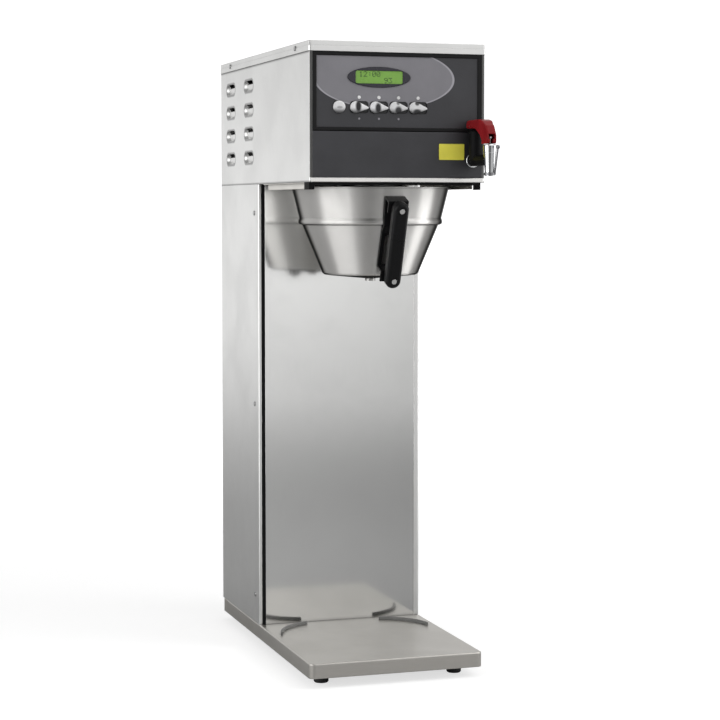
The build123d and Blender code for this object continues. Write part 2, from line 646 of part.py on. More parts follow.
# Brew funnel: one turned steel wall with a bead, an out-turned rim and a drip tip
FUNNEL_PLANE = Plane(origin=(0, FUNNEL_Y, 0), x_dir=(1, 0, 0), z_dir=(0, -1, 0))
with BuildPart() as brew_funnel:
    with BuildSketch(FUNNEL_PLANE):
        with BuildLine():
            Polyline(
                (DRIP_RADIUS - DRIP_WALL, FUNNEL_FLOOR_Z - DRIP_LENGTH),
                (DRIP_RADIUS, FUNNEL_FLOOR_Z - DRIP_LENGTH),
                (DRIP_RADIUS, FUNNEL_FLOOR_Z - 9),
                (FUNNEL_FLOOR_RADIUS - 12, FUNNEL_FLOOR_Z - 4),
                (FUNNEL_FLOOR_RADIUS - 3, FUNNEL_FLOOR_Z - 2.6),
                (FUNNEL_FLOOR_RADIUS, FUNNEL_FLOOR_Z),
                (FUNNEL_CONE_RADIUS, FUNNEL_CONE_Z),
                (FUNNEL_BEAD_RADIUS - 1.2, FUNNEL_CONE_Z + 1.6),
                (FUNNEL_BEAD_RADIUS, FUNNEL_BEAD_Z - 2),
                (FUNNEL_BEAD_RADIUS, FUNNEL_BEAD_Z + 1),
                (FUNNEL_NECK_RADIUS, FUNNEL_NECK_Z),
                (FUNNEL_RIM_WALL_RADIUS, FUNNEL_RIM_Z),
                (FUNNEL_RIM_RADIUS, FUNNEL_RIM_Z),
                (FUNNEL_RIM_RADIUS, FUNNEL_RIM_Z + FUNNEL_RIM_THICK),
                (FUNNEL_RIM_WALL_RADIUS - FUNNEL_WALL, FUNNEL_RIM_Z + FUNNEL_RIM_THICK),
                (FUNNEL_NECK_RADIUS - FUNNEL_WALL, FUNNEL_NECK_Z),
                (FUNNEL_CONE_RADIUS - FUNNEL_WALL, FUNNEL_CONE_Z + 1),
                (FUNNEL_FLOOR_RADIUS - FUNNEL_WALL, FUNNEL_FLOOR_Z + 1),
                (FUNNEL_FLOOR_RADIUS - 12, FUNNEL_FLOOR_Z - 2.6),
                (DRIP_RADIUS - DRIP_WALL, FUNNEL_FLOOR_Z - 7.6),
                close=True,
            )
        make_face()
    revolve(axis=Axis((0, FUNNEL_Y, 0), (0, 0, 1)))
brew_funnel.part.label = "brew_funnel"
export_step(brew_funnel.part, "parts/brew_funnel.step")


# Openwork basket that keeps the paper filter off the funnel wall; its rim rests on the cone
BASKET_SHEET = 1.2
BASKET_RIM_Z = FUNNEL_CONE_Z - 1.5
BASKET_TOP_RADIUS = FUNNEL_CONE_RADIUS - 9.3
BASKET_FLOOR_RADIUS = FUNNEL_FLOOR_RADIUS - 6.0
BASKET_FLOOR_Z = FUNNEL_FLOOR_Z + 6.6
BASKET_SLOT_LENGTH = 17.0
BASKET_SLOT_WIDTH = 26.0
BASKET_SLOT_ROWS = (BASKET_FLOOR_Z + 12.0, BASKET_FLOOR_Z + 34.0, BASKET_FLOOR_Z + 55.0)
BASKET_COLUMNS = 12
BASKET_GAP = 0.3
cone_slope = (FUNNEL_CONE_RADIUS - FUNNEL_FLOOR_RADIUS) / (FUNNEL_CONE_Z - FUNNEL_FLOOR_Z)
cone_at_rim = FUNNEL_CONE_RADIUS - FUNNEL_WALL - (FUNNEL_CONE_Z + 1 - BASKET_RIM_Z) * cone_slope
basket_rim_radius = cone_at_rim - BASKET_GAP
with BuildPart() as filter_basket:
    with BuildSketch(FUNNEL_PLANE):
        with BuildLine():
            Polyline(
                (0, BASKET_FLOOR_Z),
                (BASKET_FLOOR_RADIUS, BASKET_FLOOR_Z),
                (BASKET_TOP_RADIUS, BASKET_RIM_Z),
                (basket_rim_radius, BASKET_RIM_Z),
                (basket_rim_radius, BASKET_RIM_Z + BASKET_SHEET),
                (BASKET_TOP_RADIUS - BASKET_SHEET, BASKET_RIM_Z + BASKET_SHEET),
                (BASKET_FLOOR_RADIUS - BASKET_SHEET, BASKET_FLOOR_Z + BASKET_SHEET),
                (0, BASKET_FLOOR_Z + BASKET_SHEET),
                close=True,
            )
        make_face()
    revolve(axis=Axis((0, FUNNEL_Y, 0), (0, 0, 1)))
    for column in range(BASKET_COLUMNS // 2):
        angle = math.pi * column / (BASKET_COLUMNS // 2)
        across = Vector(math.cos(angle), math.sin(angle), 0)
        with BuildSketch(Plane(origin=(0, FUNNEL_Y, 0), x_dir=(0, 0, 1), z_dir=across)):
            with Locations(*[(z, 0) for z in BASKET_SLOT_ROWS]):
                RectangleRounded(BASKET_SLOT_LENGTH, BASKET_SLOT_WIDTH, 4)
        extrude(amount=BASKET_TOP_RADIUS + 4, both=True, mode=Mode.SUBTRACT)
    with BuildSketch(Plane.XY.offset(BASKET_FLOOR_Z)):
        with Locations((0, FUNNEL_Y)):
            with PolarLocations(BASKET_FLOOR_RADIUS - 18, 16):
                Circle(6)
            with PolarLocations(30, 10):
                Circle(6)
            with PolarLocations(11, 4):
                Circle(5)
    extrude(amount=BASKET_SHEET, mode=Mode.SUBTRACT)
filter_basket.part.label = "filter_basket"
export_step(filter_basket.part, "parts/filter_basket.step")


# Handle grip, parallel to the cone of the funnel
grip_length = math.hypot(GRIP_TOP_Y - GRIP_BOTTOM_Y, GRIP_TOP_Z - GRIP_BOTTOM_Z)
grip_down = Vector(0, GRIP_BOTTOM_Y - GRIP_TOP_Y, GRIP_BOTTOM_Z - GRIP_TOP_Z).normalized()
grip_toward = Vector(0, -grip_down.Z, grip_down.Y)
grip_plane = Plane(
    origin=(0, GRIP_TOP_Y, GRIP_TOP_Z), x_dir=grip_down, z_dir=grip_toward
)
GRIP_SCREW_HEAD = 4.5
GRIP_SCREW_SEAT = 2.0
with BuildPart() as funnel_handle_grip:
    with BuildSketch(grip_plane.offset(-GRIP_THICK / 2)):
        with Locations((grip_length / 2, 0)):
            SlotOverall(grip_length + 2 * GRIP_END, GRIP_WIDTH)
    extrude(amount=GRIP_THICK)
    fillet(funnel_handle_grip.edges().filter_by(lambda e: e.length > GRIP_THICK), GRIP_EDGE)
    with BuildSketch(grip_plane.offset(-GRIP_THICK / 2)):
        with Locations((0, 0), (grip_length, 0)):
            Circle(GRIP_SCREW_HEAD + FIT)
    extrude(amount=GRIP_SCREW_SEAT, mode=Mode.SUBTRACT)
    with BuildSketch(grip_plane.offset(-GRIP_THICK / 2)):
        with Locations((0, 0), (grip_length, 0)):
            Circle(SCREW_SHANK_RADIUS + FIT)
    extrude(amount=GRIP_THICK, mode=Mode.SUBTRACT)
funnel_handle_grip.part.label = "funnel_handle_grip"
export_step(funnel_handle_grip.part, "parts/funnel_handle_grip.step")


# Black strap from the funnel wall to both ends of the grip
strap_middle = GRIP_THICK / 2 + STRAP_THICK / 2


def beside_grip(along):
    """Point on the middle of the strap tab, a given way down from the upper screw."""
    spot = Vector(0, GRIP_TOP_Y, GRIP_TOP_Z) + grip_down * along + grip_toward * strap_middle
    return (spot.Y, spot.Z)


def beside_wall(inward, down):
    """Point on the strap, a given way in from the edge of the rim and below the rim."""
    return (FUNNEL_Y - FUNNEL_RIM_RADIUS + inward, FUNNEL_RIM_Z - down)


with BuildPart() as funnel_handle_strap:
    with BuildSketch(side_plane(-STRAP_WIDTH / 2)):
        with BuildLine():
            Polyline(
                beside_grip(9),
                beside_grip(-8),
                beside_wall(5.4, 15.0),
                beside_wall(12.1, 48.0),
                beside_wall(12.1, 57.0),
                beside_wall(22.8, 68.0),
                beside_wall(44.8, 120.0),
                beside_grip(grip_length - 9),
                beside_grip(grip_length + 7),
            )
        trace(line_width=STRAP_THICK)
    extrude(amount=STRAP_WIDTH)
    with BuildSketch(grip_plane.offset(GRIP_THICK / 2)):
        with Locations((0, 0), (grip_length, 0)):
            Circle(SCREW_SHANK_RADIUS + FIT)
    extrude(amount=STRAP_THICK + 1, mode=Mode.SUBTRACT)
    with BuildSketch(grip_plane.offset(GRIP_THICK)):
        with Locations((STRAP_WINDOW_MIDDLE, 0)):
            RectangleRounded(STRAP_WINDOW_LENGTH, STRAP_WINDOW_WIDTH, 4)
    extrude(amount=2 * GRIP_THICK, mode=Mode.SUBTRACT)
funnel_handle_strap.part.label = "funnel_handle_strap"
export_step(funnel_handle_strap.part, "parts/funnel_handle_strap.step")


# Bright screws through the grip into the strap
with BuildPart() as handle_screws:
    with BuildSketch(grip_plane.offset(GRIP_SCREW_SEAT - GRIP_THICK / 2)):
        with Locations((0, 0), (grip_length, 0)):
            Circle(GRIP_SCREW_HEAD)
    extrude(amount=-2.6, taper=12)
    with BuildSketch(grip_plane.offset(GRIP_SCREW_SEAT - GRIP_THICK / 2)):
        with Locations((0, 0), (grip_length, 0)):
            Circle(SCREW_SHANK_RADIUS)
    extrude(amount=GRIP_THICK - GRIP_SCREW_SEAT + STRAP_THICK)
handle_screws.part.label = "handle_screws"
export_step(handle_screws.part, "parts/handle_screws.step")


# Black frame round the control overlay
with BuildPart() as control_bezel:
    with BuildSketch(front_plane(FRONT)):
        with Locations((0, (CONTROL_BOTTOM + CONTROL_TOP) / 2)):
            Rectangle(2 * CONTROL_HALF_WIDTH, CONTROL_TOP - CONTROL_BOTTOM - FIT)
        with Locations((0, (OVERLAY_BOTTOM + OVERLAY_TOP) / 2)):
            Rectangle(
                2 * OVERLAY_HALF_WIDTH, OVERLAY_TOP - OVERLAY_BOTTOM, mode=Mode.SUBTRACT
            )
    extrude(amount=-FRAME_DEPTH)
    fillet(control_bezel.faces().sort_by(Axis.Y)[0].edges(), 0.8)
    ledge_y = FRONT + OVERLAY_RECESS + OVERLAY_THICK
    with BuildSketch(front_plane(ledge_y)):
        with Locations((0, (OVERLAY_BOTTOM + OVERLAY_TOP) / 2)):
            Rectangle(2 * OVERLAY_HALF_WIDTH + 1, OVERLAY_TOP - OVERLAY_BOTTOM + 1)
            Rectangle(
                2 * (OVERLAY_HALF_WIDTH - FRAME_LEDGE),
                OVERLAY_TOP - OVERLAY_BOTTOM - 2 * FRAME_LEDGE,
                mode=Mode.SUBTRACT,
            )
    extrude(amount=-1.5)
control_bezel.part.label = "control_bezel"
export_step(control_bezel.part, "parts/control_bezel.step")


# Overlay sheet with openings for the display, the buttons and the indicator lenses
overlay_front = FRONT + OVERLAY_RECESS
with BuildPart() as control_overlay:
    with BuildSketch(front_plane(overlay_front)):
        with Locations((0, (OVERLAY_BOTTOM + OVERLAY_TOP) / 2)):
            Rectangle(
                2 * OVERLAY_HALF_WIDTH - 2 * FIT, OVERLAY_TOP - OVERLAY_BOTTOM - 2 * FIT
            )
        with Locations((LCD_X, LCD_Z)):
            RectangleRounded(LCD_WINDOW_WIDTH, LCD_WINDOW_HEIGHT, 3, mode=Mode.SUBTRACT)
        with Locations((POWER_BUTTON_X, BUTTON_Z)):
            Circle(POWER_BUTTON_RADIUS + BUTTON_GAP, mode=Mode.SUBTRACT)
        for button_x in BREW_BUTTON_X:
            with Locations((button_x, BUTTON_Z)):
                RectangleRounded(
                    2 * BREW_BUTTON_HALF_LENGTH + 2 * BUTTON_GAP,
                    2 * BREW_BUTTON_ROUND + 2 * BUTTON_GAP,
                    5,
                    mode=Mode.SUBTRACT,
                )
            with Locations((button_x, INDICATOR_Z)):
                Circle(INDICATOR_RADIUS, mode=Mode.SUBTRACT)
    extrude(amount=-OVERLAY_THICK)
control_overlay.part.label = "control_overlay"
export_step(control_overlay.part, "parts/control_overlay.step")


# Lens-shaped dark surround of the display
with BuildPart() as lcd_bezel:
    with BuildSketch(front_plane(overlay_front - LCD_LENS_THICK)):
        with Locations((LCD_X, LCD_Z)):
            Ellipse(LCD_LENS_HALF_WIDTH, LCD_LENS_HALF_HEIGHT)
    extrude(amount=-LCD_LENS_THICK)
    fillet(lcd_bezel.faces().sort_by(Axis.Y)[0].edges(), 0.8)
    with BuildSketch(front_plane(overlay_front - LCD_LENS_THICK)):
        with Locations((LCD_X, LCD_Z)):
            RectangleRounded(LCD_WINDOW_WIDTH, LCD_WINDOW_HEIGHT, LCD_CORNER)
    extrude(amount=-6, mode=Mode.SUBTRACT)
lcd_bezel.part.label = "lcd_bezel"
export_step(lcd_bezel.part, "parts/lcd_bezel.step")


# Green display glass with its module body behind
with BuildPart() as lcd_window:
    with BuildSketch(front_plane(overlay_front - LCD_GLASS_PROUD)):
        with Locations((LCD_X, LCD_Z)):
            RectangleRounded(
                LCD_WINDOW_WIDTH - 2 * FIT, LCD_WINDOW_HEIGHT - 2 * FIT, LCD_CORNER - FIT
            )
    extrude(amount=-OVERLAY_THICK - LCD_GLASS_PROUD)
    with BuildSketch(front_plane(overlay_front + OVERLAY_THICK)):
        with Locations((LCD_X, LCD_Z)):
            Rectangle(LCD_WINDOW_WIDTH + 10, LCD_WINDOW_HEIGHT + 14)
    extrude(amount=-LCD_MODULE_DEPTH)
lcd_window.part.label = "lcd_window"
export_step(lcd_window.part, "parts/lcd_window.step")


# Control board with a switch behind every button and four corner posts
SWITCH_SIZE = 6.0
button_centres = [(POWER_BUTTON_X, BUTTON_Z)] + [(x, BUTTON_Z) for x in BREW_BUTTON_X]
button_back = overlay_front + OVERLAY_THICK + BUTTON_FLANGE
switch_front = button_back + BUTTON_TRAVEL + 0.2
post_reach_x = BOARD_WIDTH - 2 * BOARD_POST_INSET_X
post_reach_z = BOARD_HEIGHT - 2 * BOARD_POST_INSET_Z
with BuildPart() as control_board:
    with BuildSketch(front_plane(BOARD_Y)):
        with Locations((BOARD_X, BOARD_Z)):
            Rectangle(BOARD_WIDTH, BOARD_HEIGHT)
    extrude(amount=-BOARD_THICK)
    with BuildSketch(front_plane(BOARD_Y)):
        with Locations(*button_centres):
            Rectangle(SWITCH_SIZE, SWITCH_SIZE)
    extrude(amount=BOARD_Y - switch_front)
    with BuildSketch(front_plane(BOARD_Y)):
        with Locations((BOARD_X, BOARD_Z)):
            with GridLocations(post_reach_x, post_reach_z, 2, 2):
                Circle(BOARD_POST_RADIUS)
    extrude(amount=BOARD_Y - overlay_front - OVERLAY_THICK)
    with BuildSketch(front_plane(BOARD_Y + BOARD_THICK)):
        with Locations((BOARD_X - 45, BOARD_Z + 1)):
            Rectangle(24, 40)
        with Locations((BOARD_X + 45, BOARD_Z + 6)):
            Rectangle(30, 18)
    extrude(amount=-5)
control_board.part.label = "control_board"
export_step(control_board.part, "parts/control_board.step")


# Round button at the left of the row
with BuildPart() as power_button:
    with BuildSketch(front_plane(overlay_front + OVERLAY_THICK)):
        with Locations((POWER_BUTTON_X, BUTTON_Z)):
            Circle(POWER_BUTTON_RADIUS)
    extrude(amount=OVERLAY_THICK + BUTTON_PROUD)
    fillet(power_button.faces().sort_by(Axis.Y)[0].edges(), POWER_BUTTON_EDGE)
    with BuildSketch(front_plane(button_back)):
        with Locations((POWER_BUTTON_X, BUTTON_Z)):
            Circle(POWER_BUTTON_RADIUS + 2)
    extrude(amount=BUTTON_FLANGE)
power_button.part.label = "power_button"
export_step(power_button.part, "parts/power_button.step")


# Four brew buttons, round at the left end and drawn out to a point at the right
def brew_button(centre_x):
    """Push button with a leaf-shaped cap and a thin flange behind the overlay."""
    round_centre = (centre_x - BREW_BUTTON_HALF_LENGTH + BREW_BUTTON_ROUND, BUTTON_Z)
    tip_centre = (centre_x + BREW_BUTTON_HALF_LENGTH - BREW_BUTTON_TIP, BUTTON_Z - BREW_BUTTON_DROP)
    with BuildPart() as button:
        with BuildSketch(front_plane(overlay_front + OVERLAY_THICK)):
            with BuildLine():
                CenterArc(round_centre, BREW_BUTTON_ROUND, 0, 360)
                CenterArc(tip_centre, BREW_BUTTON_TIP, 0, 360)
            make_hull()
        extrude(amount=OVERLAY_THICK + BUTTON_PROUD)
        fillet(button.faces().sort_by(Axis.Y)[0].edges(), BREW_BUTTON_EDGE)
        with BuildSketch(front_plane(button_back)):
            with Locations((centre_x, BUTTON_Z)):
                RectangleRounded(2 * BREW_BUTTON_HALF_LENGTH + 1, BREW_FLANGE_HEIGHT, 3)
        extrude(amount=BUTTON_FLANGE)
    return button.part


for number, button_x in enumerate(BREW_BUTTON_X, start=1):
    cap = brew_button(button_x)
    cap.label = f"brew_button_{number}"
    export_step(cap, f"parts/brew_button_{number}.step")


# Pale lenses over the indicator lamps
with BuildPart() as indicator_lenses:
    with BuildSketch(front_plane(overlay_front - INDICATOR_PROUD)):
        with Locations(*[(x, INDICATOR_Z) for x in BREW_BUTTON_X]):
            Circle(INDICATOR_RADIUS - FIT)
    extrude(amount=-OVERLAY_THICK - INDICATOR_PROUD)
    fillet(indicator_lenses.faces().group_by(Axis.Y)[0].edges(), 0.4)
indicator_lenses.part.label = "indicator_lenses"
export_step(indicator_lenses.part, "parts/indicator_lenses.step")


# Plain panel below the controls, with the hole for the faucet
with BuildPart() as lower_front_panel:
    with BuildSketch(front_plane(FRONT)):
        with Locations((0, (TRIM_TOP + CONTROL_BOTTOM) / 2)):
            Rectangle(2 * CONTROL_HALF_WIDTH, CONTROL_BOTTOM - TRIM_TOP - 2 * FIT)
        with Locations((FAUCET_X, FAUCET_Z)):
            Circle(SHANK_RADIUS + FIT, mode=Mode.SUBTRACT)
    extrude(amount=-LOWER_PANEL_THICK)
    upper_edge = lower_front_panel.faces().sort_by(Axis.Y)[0].edges().sort_by(Axis.Z)[-1]
    fillet(upper_edge, LOWER_PANEL_EDGE)
lower_front_panel.part.label = "lower_front_panel"
export_step(lower_front_panel.part, "parts/lower_front_panel.step")


# Bare yellow plate beside the faucet
with BuildPart() as yellow_plate:
    with BuildSketch(front_plane(FRONT)):
        with Locations((PLATE_X, PLATE_Z)):
            RectangleRounded(PLATE_WIDTH, PLATE_HEIGHT, 1.5)
    extrude(amount=PLATE_THICK)
yellow_plate.part.label = "yellow_plate"
export_step(yellow_plate.part, "parts/yellow_plate.step")


# Bright trim along the bottom edge of the head
with BuildPart() as bottom_trim:
    with BuildSketch(front_plane(FRONT)):
        with Locations((0, (TRIM_BOTTOM + TRIM_TOP) / 2)):
            Rectangle(2 * SIDE - 2 * PANEL_BEND, TRIM_TOP - TRIM_BOTTOM)
    extrude(amount=TRIM_PROUD)
    fillet(bottom_trim.faces().sort_by(Axis.Y)[0].edges(), TRIM_PROUD * 0.6)
bottom_trim.part.label = "bottom_trim"
export_step(bottom_trim.part, "parts/bottom_trim.step")


# Hot-water tank, its lid and what hangs in it
TANK_PLANE = Plane(origin=(0, TANK_Y, 0), x_dir=(1, 0, 0), z_dir=(0, -1, 0))
OUTLET_Z = TANK_TOP - 27.0
OUTLET_RADIUS = 5.0
OUTLET_BORE = 3.5
OUTLET_LENGTH = 14.0
FAUCET_OUTLET_Z = TANK_TOP - 82.0
FAUCET_OUTLET_X = 55.0
FAUCET_OUTLET_LENGTH = 30.0
FILL_X = 40.0
FILL_SPIGOT = 12.0
faucet_outlet_root = TANK_Y - TANK_RADIUS + 30.0
faucet_outlet_end = faucet_outlet_root - FAUCET_OUTLET_LENGTH
with BuildPart() as water_tank:
    with BuildSketch(TANK_PLANE):
        with BuildLine():
            Polyline(
                (0, TANK_BOTTOM),
                (TANK_RADIUS, TANK_BOTTOM),
                (TANK_RADIUS, TANK_TOP - TANK_WALL),
                (TANK_RADIUS + TANK_FLANGE, TANK_TOP - TANK_WALL),
                (TANK_RADIUS + TANK_FLANGE, TANK_TOP),
                (TANK_RADIUS - TANK_WALL, TANK_TOP),
                (TANK_RADIUS - TANK_WALL, TANK_BOTTOM + TANK_WALL),
                (0, TANK_BOTTOM + TANK_WALL),
                close=True,
            )
        make_face()
    revolve(axis=Axis((0, TANK_Y, 0), (0, 0, 1)))
    with BuildSketch(front_plane(TANK_Y - TANK_RADIUS + 2)):
        with Locations((0, OUTLET_Z)):
            Circle(OUTLET_RADIUS)
    extrude(amount=OUTLET_LENGTH)
    with BuildSketch(front_plane(faucet_outlet_root)):
        with Locations((FAUCET_OUTLET_X, FAUCET_OUTLET_Z)):
            Circle(SHANK_RADIUS)
    extrude(amount=FAUCET_OUTLET_LENGTH)
    with BuildSketch(Plane.XY.offset(TANK_BOTTOM)):
        with Locations((FILL_X, TANK_Y)):
            Circle(OUTLET_RADIUS)
    extrude(amount=-FILL_SPIGOT)
    with BuildSketch(front_plane(TANK_Y)):
        with Locations((0, OUTLET_Z)):
            Circle(OUTLET_BORE)
        with Locations((FAUCET_OUTLET_X, FAUCET_OUTLET_Z)):
            Circle(OUTLET_BORE)
    extrude(amount=TANK_RADIUS + 20, mode=Mode.SUBTRACT)
    with BuildSketch(Plane.XY.offset(TANK_BOTTOM + 5)):
        with Locations((FILL_X, TANK_Y)):
            Circle(OUTLET_BORE)
    extrude(amount=-5 - FILL_SPIGOT - 1, mode=Mode.SUBTRACT)
    with BuildSketch(Plane.XY.offset(TANK_BOTTOM + 5)):
        with Locations((0, TANK_Y)):
            Circle(TANK_RADIUS - TANK_WALL)
    extrude(amount=TANK_TOP - TANK_BOTTOM, mode=Mode.SUBTRACT)
water_tank.part.label = "water_tank"
export_step(water_tank.part, "parts/water_tank.step")

ELEMENT_RADIUS = 4.0
ELEMENT_REACH = 45.0
ELEMENT_TERMINAL = 22.0
PROBE_Y = TANK_Y + 55
PROBE_RADIUS = 3.0
PROBE_LENGTH = 90.0
PROBE_HEX = 8.0
PROBE_HEAD = 12.0
with BuildPart() as tank_lid:
    with BuildSketch(Plane.XY.offset(TANK_TOP)):
        with Locations((0, TANK_Y)):
            Circle(TANK_RADIUS + TANK_FLANGE)
        with Locations((-ELEMENT_REACH, TANK_Y), (ELEMENT_REACH, TANK_Y)):
            Circle(ELEMENT_RADIUS + PIN_FIT, mode=Mode.SUBTRACT)
        with Locations((0, PROBE_Y)):
            Circle(PROBE_RADIUS + PIN_FIT, mode=Mode.SUBTRACT)
    extrude(amount=TANK_LID_THICK)
tank_lid.part.label = "tank_lid"
export_step(tank_lid.part, "parts/tank_lid.step")

element_low = TANK_BOTTOM + 60
with BuildPart() as heating_element:
    with BuildLine():
        Line((-ELEMENT_REACH, TANK_Y, TANK_TOP + ELEMENT_TERMINAL), (-ELEMENT_REACH, TANK_Y, element_low))
        ThreePointArc(
            (-ELEMENT_REACH, TANK_Y, element_low),
            (0, TANK_Y, element_low - ELEMENT_REACH),
            (ELEMENT_REACH, TANK_Y, element_low),
        )
        Line((ELEMENT_REACH, TANK_Y, element_low), (ELEMENT_REACH, TANK_Y, TANK_TOP + ELEMENT_TERMINAL))
    with BuildSketch(Plane(origin=(-ELEMENT_REACH, TANK_Y, TANK_TOP + ELEMENT_TERMINAL), z_dir=(0, 0, -1))):
        Circle(ELEMENT_RADIUS)
    sweep()
heating_element.part.label = "heating_element"
export_step(heating_element.part, "parts/heating_element.step")

with BuildPart() as temperature_probe:
    with BuildSketch(Plane.XY.offset(TANK_TOP - PROBE_LENGTH)):
        with Locations((0, PROBE_Y)):
            Circle(PROBE_RADIUS)
    extrude(amount=PROBE_LENGTH + TANK_LID_THICK)
    with BuildSketch(Plane.XY.offset(TANK_TOP + TANK_LID_THICK)):
        with Locations((0, PROBE_Y)):
            RegularPolygon(PROBE_HEX, 6)
    extrude(amount=PROBE_HEAD)
temperature_probe.part.label = "temperature_probe"
export_step(temperature_probe.part, "parts/temperature_probe.step")


# Shelf with folded ends that carries the tank between the column sides
SHELF_HALF_DEPTH = 80.0
SHELF_FOLD = 30.0
FILL_OPENING_RADIUS = 16.0
with BuildPart() as tank_shelf:
    with BuildSketch(front_plane(TANK_Y - SHELF_HALF_DEPTH)):
        with BuildLine():
            Polyline(
                (-SIDE + SHEET, TANK_BOTTOM - SHELF_FOLD),
                (-SIDE + SHEET, TANK_BOTTOM),
                (SIDE - SHEET, TANK_BOTTOM),
                (SIDE - SHEET, TANK_BOTTOM - SHELF_FOLD),
                (SIDE - 2 * SHEET, TANK_BOTTOM - SHELF_FOLD),
                (SIDE - 2 * SHEET, TANK_BOTTOM - SHEET),
                (-SIDE + 2 * SHEET, TANK_BOTTOM - SHEET),
                (-SIDE + 2 * SHEET, TANK_BOTTOM - SHELF_FOLD),
                close=True,
            )
        make_face()
    extrude(amount=-2 * SHELF_HALF_DEPTH)
    with BuildSketch(Plane.XY.offset(TANK_BOTTOM)):
        with Locations((FILL_X, TANK_Y)):
            Circle(FILL_OPENING_RADIUS)
    extrude(amount=-2 * SHEET, mode=Mode.SUBTRACT)
tank_shelf.part.label = "tank_shelf"
export_step(tank_shelf.part, "parts/tank_shelf.step")


# Dispense valve in front of the tank and its tube to the spray head
VALVE_LENGTH = 48.0
VALVE_NECK_RADIUS = 9.0
VALVE_RADIUS = 13.0
VALVE_HEIGHT = 18.0
COIL_HEIGHT = 34.0
valve_back_y = TANK_Y - TANK_RADIUS + 2 - OUTLET_LENGTH
valve_front_y = valve_back_y - VALVE_LENGTH
valve_middle_y = (valve_back_y + valve_front_y) / 2
with BuildPart() as dispense_valve:
    with BuildSketch(front_plane(valve_back_y)):
        with Locations((0, OUTLET_Z)):
            Circle(VALVE_NECK_RADIUS)
    extrude(amount=VALVE_LENGTH)
    with BuildSketch(Plane.XY.offset(OUTLET_Z)):
        with Locations((0, valve_middle_y)):
            Circle(VALVE_RADIUS)
    extrude(amount=VALVE_HEIGHT)
    with BuildSketch(Plane.XY.offset(OUTLET_Z + VALVE_HEIGHT)):
        with Locations((0, valve_middle_y)):
            RectangleRounded(34, 30, 4)
    extrude(amount=COIL_HEIGHT)
    with BuildSketch(front_plane(valve_front_y)):
        with Locations((0, OUTLET_Z)):
            Circle(OUTLET_RADIUS)
    extrude(amount=12)
dispense_valve.part.label = "dispense_valve"
export_step(dispense_valve.part, "parts/dispense_valve.step")

HOSE_RADIUS = 7.5
HOSE_END = 14.0
spray_hose_start = valve_front_y - FIT
spray_hose_end = HEAD_BOTTOM + SPRAY_NECK_HEIGHT
with BuildPart() as spray_tube:
    with BuildLine():
        Line((0, spray_hose_start, OUTLET_Z), (0, spray_hose_start - HOSE_END, OUTLET_Z))
        Spline(
            (0, spray_hose_start - HOSE_END, OUTLET_Z),
            (0, FUNNEL_Y + 22, OUTLET_Z - 28),
            (0, FUNNEL_Y, spray_hose_end),
            tangents=((0, -1, 0), (0, 0, -1)),
        )
    with BuildSketch(Plane(origin=(0, spray_hose_start, OUTLET_Z), z_dir=(0, -1, 0))):
        Circle(HOSE_RADIUS)
        Circle(OUTLET_RADIUS + PIN_FIT, mode=Mode.SUBTRACT)
    sweep()
spray_tube.part.label = "spray_tube"
export_step(spray_tube.part, "parts/spray_tube.step")


# Fill valve low in the column and its tube up to the tank
FILL_VALVE_Y = REAR - 60
FILL_VALVE_TOP = INLET_Z + 30
inlet_inner_end = REAR + INLET_OUTSIDE - INLET_LENGTH
with BuildPart() as fill_valve:
    with BuildSketch(Plane.XY.offset(INLET_Z - 16)):
        with Locations((INLET_X, FILL_VALVE_Y)):
            RectangleRounded(32, 36, 4)
    extrude(amount=32)
    with BuildSketch(front_plane(inlet_inner_end)):
        with Locations((INLET_X, INLET_Z)):
            Circle(INLET_RADIUS)
    extrude(amount=inlet_inner_end - FILL_VALVE_Y)
    with BuildSketch(Plane.XY.offset(INLET_Z)):
        with Locations((INLET_X, FILL_VALVE_Y)):
            Circle(OUTLET_RADIUS)
    extrude(amount=FILL_VALVE_TOP - INLET_Z)
    with BuildSketch(front_plane(FILL_VALVE_Y - 18)):
        with Locations((INLET_X, INLET_Z)):
            RectangleRounded(28, 30, 4)
    extrude(amount=30)
fill_valve.part.label = "fill_valve"
export_step(fill_valve.part, "parts/fill_valve.step")

FILL_HOSE_RISE = 90.0
fill_hose_low = FILL_VALVE_TOP - HOSE_END
fill_hose_high = TANK_BOTTOM - 2
with BuildPart() as fill_tube:
    with BuildLine():
        Line(
            (INLET_X, FILL_VALVE_Y, fill_hose_low),
            (INLET_X, FILL_VALVE_Y, fill_hose_low + HOSE_END),
        )
        Spline(
            (INLET_X, FILL_VALVE_Y, fill_hose_low + HOSE_END),
            (INLET_X, FILL_VALVE_Y, fill_hose_low + FILL_HOSE_RISE),
            (FILL_X, TANK_Y, fill_hose_high - FILL_HOSE_RISE),
            (FILL_X, TANK_Y, fill_hose_high - HOSE_END),
            tangents=((0, 0, 1), (0, 0, 1)),
        )
        Line((FILL_X, TANK_Y, fill_hose_high - HOSE_END), (FILL_X, TANK_Y, fill_hose_high))
    with BuildSketch(Plane.XY.offset(fill_hose_low)):
        with Locations((INLET_X, FILL_VALVE_Y)):
            Circle(HOSE_RADIUS)
            Circle(OUTLET_RADIUS + PIN_FIT, mode=Mode.SUBTRACT)
    sweep()
fill_tube.part.label = "fill_tube"
export_step(fill_tube.part, "parts/fill_tube.step")


# Threaded shank through the front panel, its nut and the tube from the tank
SHANK_FRONT = FRONT - 29.0
SHANK_BACK = FRONT + 47.0
with BuildPart() as faucet_shank:
    with BuildSketch(front_plane(SHANK_BACK)):
        with Locations((FAUCET_X, FAUCET_Z)):
            Circle(SHANK_RADIUS)
            Circle(SHANK_BORE, mode=Mode.SUBTRACT)
    extrude(amount=SHANK_BACK - SHANK_FRONT)
faucet_shank.part.label = "faucet_shank"
export_step(faucet_shank.part, "parts/faucet_shank.step")

